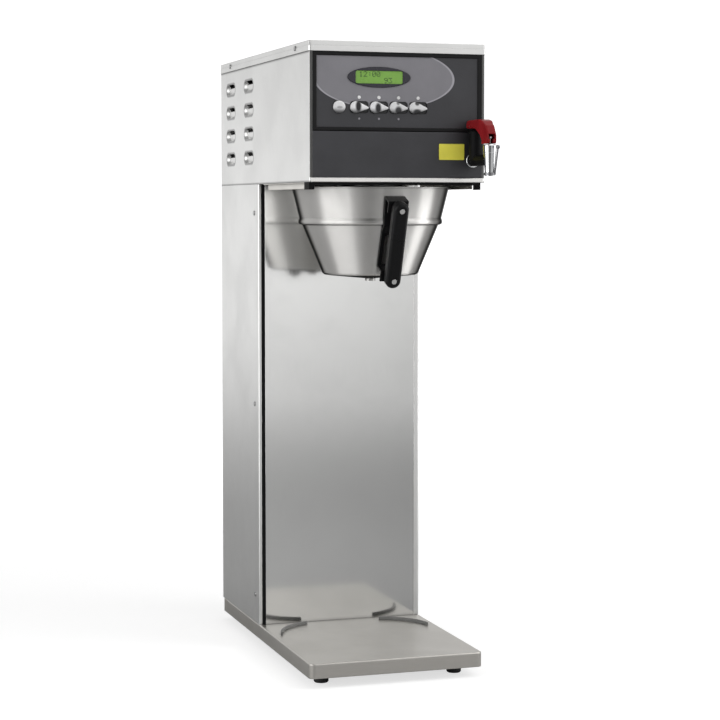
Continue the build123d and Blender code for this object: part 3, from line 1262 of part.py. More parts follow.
NUT_THICK = 7.0
NUT_HEX = 11.5
with BuildPart() as faucet_nut:
    with BuildSketch(front_plane(FRONT + LOWER_PANEL_THICK + NUT_THICK)):
        with Locations((FAUCET_X, FAUCET_Z)):
            RegularPolygon(NUT_HEX, 6)
            Circle(SHANK_RADIUS + PIN_FIT, mode=Mode.SUBTRACT)
    extrude(amount=NUT_THICK)
faucet_nut.part.label = "faucet_nut"
export_step(faucet_nut.part, "parts/faucet_nut.step")

faucet_hose_start = faucet_outlet_end - 3
faucet_hose_end = SHANK_BACK - 12
with BuildPart() as faucet_tube:
    with BuildLine():
        Line(
            (FAUCET_OUTLET_X, faucet_hose_start + HOSE_END, FAUCET_OUTLET_Z),
            (FAUCET_OUTLET_X, faucet_hose_start, FAUCET_OUTLET_Z),
        )
        Spline(
            (FAUCET_OUTLET_X, faucet_hose_start, FAUCET_OUTLET_Z),
            (FAUCET_X, faucet_hose_end + HOSE_END, FAUCET_Z),
            tangents=((0, -1, 0), (0, -1, 0)),
        )
        Line((FAUCET_X, faucet_hose_end + HOSE_END, FAUCET_Z), (FAUCET_X, faucet_hose_end, FAUCET_Z))
    with BuildSketch(
        Plane(
            origin=(FAUCET_OUTLET_X, faucet_hose_start + HOSE_END, FAUCET_OUTLET_Z),
            z_dir=(0, -1, 0),
        )
    ):
        Circle(HOSE_RADIUS + 0.8)
        Circle(SHANK_RADIUS + PIN_FIT, mode=Mode.SUBTRACT)
    sweep()
faucet_tube.part.label = "faucet_tube"
export_step(faucet_tube.part, "parts/faucet_tube.step")


# Bright ring where the faucet meets the panel
RING_RADIUS = 11.0
RING_THICK = 3.0
with BuildPart() as faucet_ring:
    with BuildSketch(front_plane(FRONT)):
        with Locations((FAUCET_X, FAUCET_Z)):
            Circle(RING_RADIUS)
            Circle(SHANK_RADIUS + FIT, mode=Mode.SUBTRACT)
    extrude(amount=RING_THICK)
    fillet(faucet_ring.faces().sort_by(Axis.Y)[0].edges().sort_by(SortBy.LENGTH)[-1], 1.4)
faucet_ring.part.label = "faucet_ring"
export_step(faucet_ring.part, "parts/faucet_ring.step")


# Outside of the spout and its cap: one even taper
SPOUT_PLANE = Plane(origin=(FAUCET_X, SPOUT_Y, 0), x_dir=(1, 0, 0), z_dir=(0, -1, 0))
SPOUT_AXIS = Axis((FAUCET_X, SPOUT_Y, 0), (0, 0, 1))


def spout_radius(z):
    """Outer radius of the taper at a height."""
    return SPOUT_BOTTOM_RADIUS + (z - SPOUT_BOTTOM) * SPOUT_TAPER


# Black faucet body: a level tube from the panel to the spout and a post for the lever
SADDLE_REACH = 4.0
body_back = FRONT - RING_THICK
body_length = body_back - SPOUT_Y - SADDLE_REACH
saddle_low = FAUCET_Z - COLLAR_RADIUS - 1
saddle_high = FAUCET_Z + COLLAR_RADIUS + 1
with BuildPart() as faucet_body:
    with BuildSketch(front_plane(body_back)):
        with Locations((FAUCET_X, FAUCET_Z)):
            Circle(COLLAR_RADIUS)
    extrude(amount=body_length)
    with BuildSketch(Plane.XY.offset(FAUCET_Z)):
        with Locations((FAUCET_X, POST_Y)):
            Circle(POST_RADIUS)
    extrude(amount=POST_TOP - FAUCET_Z)
    fillet(faucet_body.faces().sort_by(Axis.Z)[-1].edges(), 1.5)
    with BuildSketch(Plane.XY.offset(POST_TOP - 2)):
        with Locations((FAUCET_X, POST_Y)):
            Rectangle(2 * TONGUE_HALF_WIDTH, TONGUE_LENGTH)
    extrude(amount=HINGE_Z + TONGUE_LENGTH / 2 - POST_TOP + 2)
    tongue_top = faucet_body.faces().sort_by(Axis.Z)[-1].edges().filter_by(Axis.X)
    fillet(tongue_top, TONGUE_LENGTH * 0.45)
    with BuildSketch(side_plane(FAUCET_X - LEVER_HALF_WIDTH)):
        with Locations((POST_Y, HINGE_Z)):
            Circle(PIN_RADIUS)
    extrude(amount=2 * LEVER_HALF_WIDTH, mode=Mode.SUBTRACT)
    with BuildSketch(front_plane(body_back)):
        with Locations((FAUCET_X, FAUCET_Z)):
            Circle(SHANK_RADIUS + PIN_FIT)
    extrude(amount=body_back - SHANK_FRONT, mode=Mode.SUBTRACT)
    with BuildSketch(front_plane(body_back)):
        with Locations((FAUCET_X, FAUCET_Z)):
            Circle(SHANK_BORE)
    extrude(amount=body_length, mode=Mode.SUBTRACT)
    with BuildSketch(SPOUT_PLANE):
        with BuildLine():
            Polyline(
                (0, saddle_low),
                (spout_radius(saddle_low) + PIN_FIT, saddle_low),
                (spout_radius(saddle_high) + PIN_FIT, saddle_high),
                (0, saddle_high),
                close=True,
            )
        make_face()
    revolve(axis=SPOUT_AXIS, mode=Mode.SUBTRACT)
faucet_body.part.label = "faucet_body"
export_step(faucet_body.part, "parts/faucet_body.step")


# Bright tapered spout with the valve seat inside
with BuildPart() as faucet_spout:
    with BuildSketch(SPOUT_PLANE):
        with BuildLine():
            Polyline(
                (SPOUT_BOTTOM_RADIUS - SPOUT_WALL, SPOUT_BOTTOM),
                (SPOUT_BOTTOM_RADIUS, SPOUT_BOTTOM),
                (spout_radius(SPOUT_TOP), SPOUT_TOP),
                (CHAMBER_RADIUS, SPOUT_TOP),
                (CHAMBER_RADIUS, SEAT_Z),
                (SEAT_RADIUS, SEAT_Z),
                (SEAT_RADIUS, SEAT_Z - 2),
                (SPOUT_BOTTOM_RADIUS - SPOUT_WALL, SEAT_Z - 5),
                close=True,
            )
        make_face()
    revolve(axis=SPOUT_AXIS)
    with BuildSketch(front_plane(SPOUT_Y)):
        with Locations((FAUCET_X, FAUCET_Z)):
            Circle(SHANK_BORE)
    extrude(amount=-spout_radius(SPOUT_TOP), mode=Mode.SUBTRACT)
faucet_spout.part.label = "faucet_spout"
export_step(faucet_spout.part, "parts/faucet_spout.step")


# Bright cap over the valve chamber, in line with the spout
CAP_EDGE = 1.5
with BuildPart() as faucet_bonnet:
    with BuildSketch(SPOUT_PLANE):
        with BuildLine():
            Polyline(
                (CHAMBER_RADIUS, SPOUT_TOP),
                (spout_radius(SPOUT_TOP), SPOUT_TOP),
                (spout_radius(BONNET_TOP - CAP_EDGE), BONNET_TOP - CAP_EDGE),
                (spout_radius(BONNET_TOP) - CAP_EDGE, BONNET_TOP),
                (STEM_RADIUS + STEM_FIT, BONNET_TOP),
                (STEM_RADIUS + STEM_FIT, BONNET_CEILING),
                (CHAMBER_RADIUS, BONNET_CEILING),
                close=True,
            )
        make_face()
    revolve(axis=SPOUT_AXIS)
faucet_bonnet.part.label = "faucet_bonnet"
export_step(faucet_bonnet.part, "parts/faucet_bonnet.step")


# Stem with the seat cup below and a round head that the lever lifts
HEAD_LOW = BONNET_TOP + 9.5
HEAD_THICK = 3.0
HEAD_RADIUS = 4.5
cup_low = SEAT_Z
with BuildPart() as faucet_stem:
    with BuildSketch(SPOUT_PLANE):
        with BuildLine():
            Polyline(
                (0, cup_low),
                (CUP_RADIUS, cup_low),
                (CUP_RADIUS, cup_low + CUP_THICK),
                (STEM_RADIUS, cup_low + CUP_THICK),
                (STEM_RADIUS, HEAD_LOW),
                (HEAD_RADIUS, HEAD_LOW),
                (HEAD_RADIUS, HEAD_LOW + HEAD_THICK - 1),
                (HEAD_RADIUS - 1, HEAD_LOW + HEAD_THICK),
                (0, HEAD_LOW + HEAD_THICK),
                close=True,
            )
        make_face()
    revolve(axis=SPOUT_AXIS)
faucet_stem.part.label = "faucet_stem"
export_step(faucet_stem.part, "parts/faucet_stem.step")


# Spring between the seat cup and the cap
SPRING_WIRE = 0.5
SPRING_RADIUS = 4.2
SPRING_TURNS = 4
spring_low = cup_low + CUP_THICK + SPRING_WIRE
spring_high = BONNET_CEILING - SPRING_WIRE
with BuildPart() as faucet_spring:
    with BuildLine():
        Helix(
            pitch=(spring_high - spring_low) / SPRING_TURNS,
            height=spring_high - spring_low,
            radius=SPRING_RADIUS,
            center=(FAUCET_X, SPOUT_Y, spring_low),
        )
    with BuildSketch(
        Plane(origin=(FAUCET_X + SPRING_RADIUS, SPOUT_Y, spring_low), z_dir=(0, 1, 0))
    ):
        Circle(SPRING_WIRE)
    sweep(is_frenet=True)
faucet_spring.part.label = "faucet_spring"
export_step(faucet_spring.part, "parts/faucet_spring.step")


# Red lever: level grip over the post, bent down in front to a slotted nose
LEVER_ROUND = 2.5
LEVER_CREST = HINGE_Z + 9.5
LEVER_BACK = POST_Y + 11.5
NOSE_BACK = SPOUT_Y + 11.0
NOSE_FRONT = SPOUT_Y - 8.5
NOSE_BOTTOM = BONNET_TOP + 1.2
SLOT_FRONT = NOSE_FRONT - 1.0
SLOT_GAP = 0.8
with BuildPart() as faucet_lever:
    with BuildSketch(side_plane(FAUCET_X - LEVER_HALF_WIDTH)):
        with BuildLine():
            Polyline(
                (LEVER_BACK, HINGE_Z - 3),
                (LEVER_BACK, HINGE_Z + 5),
                (LEVER_BACK - 4.5, LEVER_CREST),
                (SPOUT_Y + 25, LEVER_CREST),
                (SPOUT_Y + 11, HINGE_Z + 6.5),
                (SPOUT_Y - 0.5, HINGE_Z - 0.5),
                (NOSE_FRONT, HINGE_Z - 12),
                (NOSE_FRONT, NOSE_BOTTOM + 3),
                (NOSE_FRONT + 3, NOSE_BOTTOM),
                (NOSE_BACK, NOSE_BOTTOM),
                (NOSE_BACK, NOSE_BOTTOM + 5.5),
                (SPOUT_Y + 16, HINGE_Z - 13),
                (SPOUT_Y + 29, HINGE_Z - 6),
                (SPOUT_Y + 43, HINGE_Z - 3.5),
                close=True,
            )
        make_face()
    extrude(amount=2 * LEVER_HALF_WIDTH)
    with BuildSketch(Plane.XY.offset(NOSE_BOTTOM - 1)):
        for sign in (-1, 1):
            with BuildLine():
                Polyline(
                    (FAUCET_X + sign * (LEVER_HALF_WIDTH + 1), SPOUT_Y + 21),
                    (FAUCET_X + sign * (LEVER_HALF_WIDTH + 1), NOSE_FRONT - 1),
                    (FAUCET_X + sign * (LEVER_NOSE_HALF_WIDTH - 0.5), NOSE_FRONT - 1),
                    (FAUCET_X + sign * (LEVER_NOSE_HALF_WIDTH + 0.2), SPOUT_Y + 7),
                    close=True,
                )
            make_face()
    extrude(amount=LEVER_CREST - NOSE_BOTTOM + 2, mode=Mode.SUBTRACT)
    outer = faucet_lever.edges().filter_by(lambda e: e.center().Z > HINGE_Z - 8)
    sides = outer.filter_by(lambda e: abs(e.center().X - FAUCET_X) > LEVER_NOSE_HALF_WIDTH - 1.5)
    fillet(sides.filter_by(lambda e: e.center().Y < LEVER_BACK - 3), LEVER_ROUND)
    with BuildSketch(Plane.XY.offset(HINGE_Z - 13)):
        with Locations((FAUCET_X, POST_Y)):
            Rectangle(2 * TONGUE_HALF_WIDTH + SLOT_GAP, TONGUE_LENGTH + 4)
    extrude(amount=13 + TONGUE_LENGTH / 2 + 1.2, mode=Mode.SUBTRACT)
    with BuildSketch(side_plane(FAUCET_X - LEVER_HALF_WIDTH - 1)):
        with Locations((POST_Y, HINGE_Z)):
            Circle(PIN_RADIUS + PIN_FIT)
    extrude(amount=2 * LEVER_HALF_WIDTH + 2, mode=Mode.SUBTRACT)
    stem_slot_back = SPOUT_Y + STEM_RADIUS + 4
    with BuildSketch(Plane.XY.offset(NOSE_BOTTOM - 1)):
        with Locations((FAUCET_X, (SLOT_FRONT + stem_slot_back) / 2)):
            Rectangle(2 * STEM_RADIUS + 2 * SLOT_GAP, stem_slot_back - SLOT_FRONT)
    extrude(amount=HEAD_LOW - NOSE_BOTTOM + 1, mode=Mode.SUBTRACT)
    head_slot_back = SPOUT_Y + HEAD_RADIUS + 3.5
    with BuildSketch(Plane.XY.offset(HEAD_LOW - 1.5)):
        with Locations((FAUCET_X, (SLOT_FRONT + head_slot_back) / 2)):
            Rectangle(2 * HEAD_RADIUS + 1.2, head_slot_back - SLOT_FRONT)
    extrude(amount=HEAD_THICK + 4.5, mode=Mode.SUBTRACT)
faucet_lever.part.label = "faucet_lever"
export_step(faucet_lever.part, "parts/faucet_lever.step")


# Pin through the post and the lever
PIN_INSET = 0.2
with BuildPart() as lever_pin:
    with BuildSketch(side_plane(FAUCET_X - LEVER_HALF_WIDTH + PIN_INSET)):
        with Locations((POST_Y, HINGE_Z)):
            Circle(PIN_RADIUS)
    extrude(amount=2 * LEVER_HALF_WIDTH - 2 * PIN_INSET)
lever_pin.part.label = "lever_pin"
export_step(lever_pin.part, "parts/lever_pin.step")


# Thin rod with a ball end, held beside the spout by a narrow ring
CLIP_LOW = SPOUT_BOTTOM + 1.0
CLIP_HIGH = CLIP_LOW + 4.0
CLIP_WALL = 1.2
ROD_RADIUS = 1.4
BALL_RADIUS = 3.1
ROD_FOOT = Vector(FAUCET_X + 6.0, SPOUT_Y - 5.6, CLIP_LOW + 1)
ROD_END = Vector(FAUCET_X + 6.6, SPOUT_Y - 17.0, BONNET_TOP - 4.0)
clip_low_radius = spout_radius(CLIP_LOW) + PIN_FIT
clip_high_radius = spout_radius(CLIP_HIGH) + PIN_FIT
clear_low = SPOUT_BOTTOM - 2
clear_high = FAUCET_Z - COLLAR_RADIUS
with BuildPart() as spout_rod:
    with BuildSketch(SPOUT_PLANE):
        with BuildLine():
            Polyline(
                (clip_low_radius, CLIP_LOW),
                (clip_high_radius + CLIP_WALL, CLIP_LOW),
                (clip_high_radius + CLIP_WALL, CLIP_HIGH),
                (clip_high_radius, CLIP_HIGH),
                close=True,
            )
        make_face()
    revolve(axis=SPOUT_AXIS)
    with BuildSketch(Plane(origin=ROD_FOOT, z_dir=ROD_END - ROD_FOOT)):
        Circle(ROD_RADIUS)
    extrude(amount=(ROD_END - ROD_FOOT).length)
    with Locations(Location(tuple(ROD_END))):
        Sphere(BALL_RADIUS)
    with BuildSketch(SPOUT_PLANE):
        with BuildLine():
            Polyline(
                (0, clear_low),
                (spout_radius(clear_low) + PIN_FIT, clear_low),
                (spout_radius(clear_high) + PIN_FIT, clear_high),
                (0, clear_high),
                close=True,
            )
        make_face()
    revolve(axis=SPOUT_AXIS, mode=Mode.SUBTRACT)
spout_rod.part.label = "spout_rod"
export_step(spout_rod.part, "parts/spout_rod.step")
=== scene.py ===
from math import radians

import bpy
import numpy as np
from bpy.props import FloatProperty, FloatVectorProperty, PointerProperty
from bpy.types import Operator, Panel, PropertyGroup
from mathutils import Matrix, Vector


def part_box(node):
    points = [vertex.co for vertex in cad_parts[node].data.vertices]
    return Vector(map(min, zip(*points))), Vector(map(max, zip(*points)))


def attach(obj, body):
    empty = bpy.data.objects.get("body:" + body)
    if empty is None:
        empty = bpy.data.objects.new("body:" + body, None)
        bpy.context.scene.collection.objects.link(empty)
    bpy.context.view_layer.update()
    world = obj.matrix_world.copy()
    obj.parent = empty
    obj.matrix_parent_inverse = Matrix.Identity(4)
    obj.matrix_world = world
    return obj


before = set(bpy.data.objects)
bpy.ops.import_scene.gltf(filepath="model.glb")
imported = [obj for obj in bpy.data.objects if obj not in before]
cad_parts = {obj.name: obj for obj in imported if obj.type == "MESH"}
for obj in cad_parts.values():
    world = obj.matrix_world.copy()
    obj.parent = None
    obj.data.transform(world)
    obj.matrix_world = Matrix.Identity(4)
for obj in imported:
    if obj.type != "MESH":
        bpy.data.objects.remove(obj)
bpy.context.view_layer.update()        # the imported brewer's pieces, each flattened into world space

bl_info = {
    "name": "Coffee brewer with a slide-out funnel",
    "version": (1, 0, 0),
    "blender": (4, 5, 0),
    "location": "3D View > Sidebar > Brewer",
    "description": "Finishes and fine pieces of a tall steel coffee brewer",
    "category": "Object",
}

MM = 0.001

# Oval of the light sweep on the control overlay: middle and half size in x, y, z
SWEEP_CENTRE = (-0.021, 0.0, 0.9238)
SWEEP_HALF_SIZE = (0.112, 1.0, 0.0455)

# Louvres of the head sides: y and z of their middles, half their straight length and the radius of their ends
LOUVRE_COLUMNS = (0.084, 0.205)
LOUVRE_ROWS = (0.8126, 0.8522, 0.8916, 0.9312)
LOUVRE_STRAIGHT = 20.0 * MM
LOUVRE_RADIUS = 10.0 * MM

# Stretches of the brushed grain: how many lines of noise a metre holds along x, y and z
GRAIN_ALONG = 25.0
GRAIN_ACROSS = 0.7         # the same in one width of the grain setting
GRAIN_EVEN = (300.0, 300.0, 300.0)
GRAIN_FINE = (900.0, 900.0, 900.0)
GRAIN_SPUN = (90.0, 90.0, 3500.0)
GRAIN_INNER = (1200.0, 1200.0, 60.0)

# Dark marks on the buttons, partly printed icons and partly painted shade and reflection, in mm: (button,
# sideways and upward offset, half width and height, darkness)
BUTTON_MARKS = (
    ("brew_button_1", -2.0, 1.6, 5.6, 11.0, 0.99),
    ("brew_button_2", -2.0, -0.8, 5.8, 9.6, 0.98),
    ("brew_button_3", -1.0, -4.0, 6.6, 7.4, 0.94),
    ("brew_button_3", -1.6, 7.4, 3.4, 4.2, 0.70),
    ("brew_button_4", -2.2, -6.0, 8.0, 5.4, 0.95),
    ("brew_button_4", -2.2, 7.0, 4.6, 4.4, 0.90),
    ("power_button", 0.2, -0.6, 5.4, 2.4, 0.45),
)
BUTTON_SHADE = (0.012, 0.012, 0.014)

# Characters of the display: rows of five dots from the top down, bit 4 of a row is its leftmost dot
DIGIT_ROWS = {
    "0": (14, 17, 19, 21, 25, 17, 14), "1": (4, 12, 4, 4, 4, 4, 14), "2": (14, 17, 1, 2, 4, 8, 31),
    "9": (14, 17, 17, 15, 1, 2, 12), "3": (31, 2, 4, 2, 1, 17, 14), ":": (0, 4, 4, 0, 4, 4, 0),
}
DOT_PITCH = 1.15 * MM
DOT_HALF = 0.54 * MM
DOT_RISE = 0.06 * MM
# Lines of the display: (characters, sideways and upward offset of the line's middle)
DISPLAY_LINES = (("12:00", -15.0 * MM, 4.6 * MM), ("93", 14.0 * MM, -4.6 * MM))

# Studio: walls as (degrees from the front towards the user's right, level), lamps and the camera of the photo
WALL_LEVELS = (
    (-180, 1.10), (-162, 1.30), (-130, 0.70), (-98, 0.75), (-60, 0.98), (-40, 0.88), (-29, 0.28),
    (-18, 0.06), (-8, 0.28), (4, 0.85), (20, 1.05), (62, 1.05), (84, 0.80), (108, 0.25), (138, 0.25),
    (165, 0.95), (180, 1.10),
)
# Dimming of the walls towards the ground and the ceiling: from and to an upward slope, from and to a share
GROUND_FADE = (-0.16, -0.01, 0.45, 1.0)
CEILING_FADE = (0.25, 0.70, 1.0, 0.55)
BREWER_MIDDLE = (0.0, 0.0, 0.4)
FUNNEL_MIDDLE = (0.0, -0.138, 0.9)
# Lamps: (name, place, target, width, height, level of the shining face)
SOFTBOXES = (
    ("top_softbox", (0.5, 0.0, 3.2), BREWER_MIDDLE, 2.4, 2.4, 1.1),
    ("right_softbox", (2.4, -1.6, 2.9), BREWER_MIDDLE, 1.5, 1.5, 4.0),
    ("left_strip", (-1.64, -0.68, 0.9), FUNNEL_MIDDLE, 1.70, 1.7, 1.6),
    ("right_strip", (1.58, -0.55, 0.9), FUNNEL_MIDDLE, 0.70, 1.7, 2.2),
)
CAMERA_PLACE = (-0.9688, -3.1117, 0.7294)
CAMERA_DOWN = 3.537                # degrees below the horizon
CAMERA_RIGHT = 17.75               # degrees from +Y towards the user's right
CAMERA_LENS = 98.76                # mm
SENSOR_WIDTH = 36.0                # mm
CAMERA_SHIFT = -30.0 / 720.0       # share of the picture's width
CAMERA_REACH = 60.0
FLOOR_REACH = 7.0
FLOOR_BEND = 2.0
FLOOR_SHARE = 0.72                 # how much of the floor's colour the paint itself has
# White added to the floor for the camera, and for reflections: from and to a distance, from and to a level
WHITE_SEEN = (0.9, 2.2, 0.67, 1.0)
WHITE_MIRRORED = (1.3, 6.5, 0.0, 0.85)
# Share of the mirrored white that is left up the wall: from and to a height, from and to a share
WHITE_RAISED = (0.7, 1.9, 1.0, 0.62)


# Colours and sizes that a user may change


def colour_setting(name, description, default):
    """One colour of the brewer."""
    return FloatVectorProperty(name=name, description=description, subtype="COLOR", size=3,
                               min=0.0, max=1.0, default=default)


class BrewerColours(PropertyGroup):
    """Colours of the finishes."""

    sheet: colour_setting("Sheet steel", "Brushed steel of the cabinet", (0.76, 0.76, 0.75))
    mirror: colour_setting("Polished steel", "Bright front of the column", (0.80, 0.80, 0.79))
    funnel: colour_setting("Funnel steel", "Spun steel of the funnel", (0.74, 0.73, 0.71))
    charcoal: colour_setting("Charcoal", "Lower front panel and overlay", (0.034, 0.034, 0.039))
    sweep: colour_setting("Grey sweep", "Light field of the control overlay", (0.225, 0.22, 0.24))
    black: colour_setting("Black plastic", "Frame, grip and faucet post", (0.006, 0.006, 0.0065))
    silver: colour_setting("Button silver", "Lacquer of the push buttons", (0.82, 0.82, 0.83))
    display: colour_setting("Display green", "Lit glass of the display", (0.20, 0.42, 0.06))
    lever: colour_setting("Lever red", "Plastic of the faucet lever", (0.23, 0.010, 0.013))
    plate: colour_setting("Plate yellow", "Bare plate beside the faucet", (0.92, 0.84, 0.085))
    floor: colour_setting("Floor", "Pale floor and backdrop", (0.62, 0.62, 0.62))


class BrewerSizes(PropertyGroup):
    """Sizes of the fine pieces and of the surface detail."""

    grain: FloatProperty(name="Grain width", description="Width of one brushed line",
                         default=0.25 * MM, unit="LENGTH")
    fold: FloatProperty(name="Fold radius", description="Rounding seen on the folded steel edges",
                        default=0.9 * MM, unit="LENGTH")
    moulded_edge: FloatProperty(name="Moulded edge", description="Rounding seen on the plastic edges",
                                default=0.6 * MM, unit="LENGTH")


# Effects that more than one material uses


def new_group(name, inputs, outputs):
    """An empty shader node group with named sockets: (name, kind, default) in, (name, kind) out."""
    group = bpy.data.node_groups.new(name, "ShaderNodeTree")
    for label, kind, default in inputs:
        socket = group.interface.new_socket(name=label, in_out="INPUT", socket_type=kind)
        socket.default_value = default
    for label, kind in outputs:
        group.interface.new_socket(name=label, in_out="OUTPUT", socket_type=kind)
    return group, group.nodes.new("NodeGroupInput"), group.nodes.new("NodeGroupOutput")


def feed(tree, node, sources):
    """Gives a node's first inputs their sockets or plain values; None leaves an input as it is."""
    for index, source in enumerate(sources):
        if isinstance(source, bpy.types.NodeSocket):
            tree.links.new(source, node.inputs[index])
        elif source is not None:
            node.inputs[index].default_value = source


def value_step(tree, operation, first, second=None, third=None, clamp=False):
    """A math node on sockets or numbers; gives its output socket."""
    node = tree.nodes.new("ShaderNodeMath")
    node.operation = operation
    node.use_clamp = clamp
    feed(tree, node, (first, second, third))
    return node.outputs[0]


def vector_step(tree, operation, first, second=None, third=None):
    """A vector math node on sockets or triples; gives its outputs, Vector and Value."""
    node = tree.nodes.new("ShaderNodeVectorMath")
    node.operation = operation
    feed(tree, node, (first, second, third))
    return node.outputs


def span_step(tree, source, low, high, to_low=0.0, to_high=1.0, smooth=False):
    """Maps a value from one span to another and holds it there."""
    node = tree.nodes.new("ShaderNodeMapRange")
    node.interpolation_type = "SMOOTHSTEP" if smooth else "LINEAR"
    tree.links.new(source, node.inputs["Value"])
    spans = (("From Min", low), ("From Max", high), ("To Min", to_low), ("To Max", to_high))
    for label, number in spans:
        node.inputs[label].default_value = number
    return node.outputs["Result"]


def blend_colours(tree, factor, first, second):
    """Mixes two colours, each a socket or three numbers, by a factor socket."""
    node = tree.nodes.new("ShaderNodeMix")
    node.data_type = "RGBA"
    tree.links.new(factor, node.inputs[0])
    for index, source in ((6, first), (7, second)):
        if isinstance(source, bpy.types.NodeSocket):
            tree.links.new(source, node.inputs[index])
        else:
            node.inputs[index].default_value = (*source, 1.0)
    return node.outputs[2]


def object_point(tree):
    """The point on the piece, in metres from its object's place."""
    return tree.nodes.new("ShaderNodeTexCoord").outputs["Object"]


def coordinates(tree):
    """The outputs X, Y and Z of the point on the piece."""
    parts = tree.nodes.new("ShaderNodeSeparateXYZ")
    tree.links.new(object_point(tree), parts.inputs["Vector"])
    return parts.outputs


def make_grain_group():
    """Fine brushed lines: noise at the point times a stretch, small along the lines and large across them."""
    group, given, result = new_group(
        "Brushed grain",
        [("Stretch", "NodeSocketVector", (4000.0, 4000.0, 60.0)), ("Detail", "NodeSocketFloat", 3.0)],
        [("Shade", "NodeSocketFloat"), ("Height", "NodeSocketFloat")])
    scaled = vector_step(group, "MULTIPLY", object_point(group), given.outputs["Stretch"])
    noise = group.nodes.new("ShaderNodeTexNoise")
    noise.inputs["Scale"].default_value = 1.0
    noise.inputs["Roughness"].default_value = 0.65
    group.links.new(scaled["Vector"], noise.inputs["Vector"])
    group.links.new(given.outputs["Detail"], noise.inputs["Detail"])
    group.links.new(noise.outputs["Fac"], result.inputs["Height"])
    group.links.new(span_step(group, noise.outputs["Fac"], 0.3, 0.7), result.inputs["Shade"])
    return group


def make_edge_group():
    """Rounded look of an edge: the normal averaged over a radius, and how far it leans from the flat face."""
    group, given, result = new_group(
        "Rounded edges",
        [("Radius", "NodeSocketFloat", 0.8 * MM)],
        [("Normal", "NodeSocketVector"), ("Edge", "NodeSocketFloat")])
    rounded = group.nodes.new("ShaderNodeBevel")
    rounded.samples = 4
    group.links.new(given.outputs["Radius"], rounded.inputs["Radius"])
    flat = group.nodes.new("ShaderNodeNewGeometry").outputs["Normal"]
    lean = vector_step(group, "DOT_PRODUCT", rounded.outputs["Normal"], flat)
    group.links.new(rounded.outputs["Normal"], result.inputs["Normal"])
    group.links.new(span_step(group, lean["Value"], 0.995, 0.80), result.inputs["Edge"])
    return group


def make_seam_group():
    """Shade in seams and inner corners: how much of the near surroundings is closed, within a reach."""
    group, given, result = new_group(
        "Seam shade",
        [("Reach", "NodeSocketFloat", 6.0 * MM)],
        [("Shade", "NodeSocketFloat")])
    closed = group.nodes.new("ShaderNodeAmbientOcclusion")
    closed.samples = 6
    group.links.new(given.outputs["Reach"], closed.inputs["Distance"])
    group.links.new(span_step(group, closed.outputs["AO"], 0.25, 0.95, 1.0, 0.0), result.inputs["Shade"])
    return group


def make_oval_group():
    """An upright oval field on the front: 1 inside, 0 outside, with a rim just within its edge.

    The distance is the length of ((x, z) - centre) / (half width, half height), and 1 is the edge."""
    group, given, result = new_group(
        "Front oval",
        [("Centre", "NodeSocketVector", (0.0, 0.0, 0.0)),
         ("Half size", "NodeSocketVector", (1.0, 1.0, 1.0)),
         ("Rim", "NodeSocketFloat", 0.03), ("Softness", "NodeSocketFloat", 0.01)],
        [("Field", "NodeSocketFloat"), ("Rim", "NodeSocketFloat")])
    moved = vector_step(group, "SUBTRACT", object_point(group), given.outputs["Centre"])["Vector"]
    scaled = vector_step(group, "DIVIDE", moved, given.outputs["Half size"])["Vector"]
    upright = vector_step(group, "MULTIPLY", scaled, (1.0, 0.0, 1.0))["Vector"]
    depth = value_step(group, "SUBTRACT", 1.0, vector_step(group, "LENGTH", upright)["Value"])
    soft = given.outputs["Softness"]
    field = value_step(group, "DIVIDE", depth, soft, clamp=True)
    below_rim = value_step(group, "SUBTRACT", depth, given.outputs["Rim"])
    inner = value_step(group, "DIVIDE", below_rim, soft, clamp=True)
    group.links.new(field, result.inputs["Field"])
    group.links.new(value_step(group, "SUBTRACT", field, inner, clamp=True), result.inputs["Rim"])
    return group


def nearest(tree, value, places):
    """Distance from a coordinate to the nearest of the given places."""
    least = None
    for place in places:
        away = value_step(tree, "ABSOLUTE", value_step(tree, "SUBTRACT", value, place))
        least = away if least is None else value_step(tree, "MINIMUM", least, away)
    return least


def make_louvre_group():
    """Shade round the foot of each louvre: 1 on its rounded outline, fading over the given reach."""
    group, given, result = new_group(
        "Louvre shade",
        [("Reach", "NodeSocketFloat", 3.0 * MM)],
        [("Shade", "NodeSocketFloat")])
    point = coordinates(group)
    past_straight = value_step(group, "SUBTRACT", nearest(group, point["Y"], LOUVRE_COLUMNS), LOUVRE_STRAIGHT)
    along = value_step(group, "MAXIMUM", past_straight, 0.0)
    upward = nearest(group, point["Z"], LOUVRE_ROWS)
    squares = value_step(group, "ADD", value_step(group, "MULTIPLY", along, along),
                         value_step(group, "MULTIPLY", upward, upward))
    from_outline = value_step(group, "SUBTRACT", value_step(group, "SQRT", squares), LOUVRE_RADIUS)
    share = value_step(group, "DIVIDE", value_step(group, "ABSOLUTE", from_outline), given.outputs["Reach"])
    group.links.new(value_step(group, "SUBTRACT", 1.0, share, clamp=True), result.inputs["Shade"])
    return group


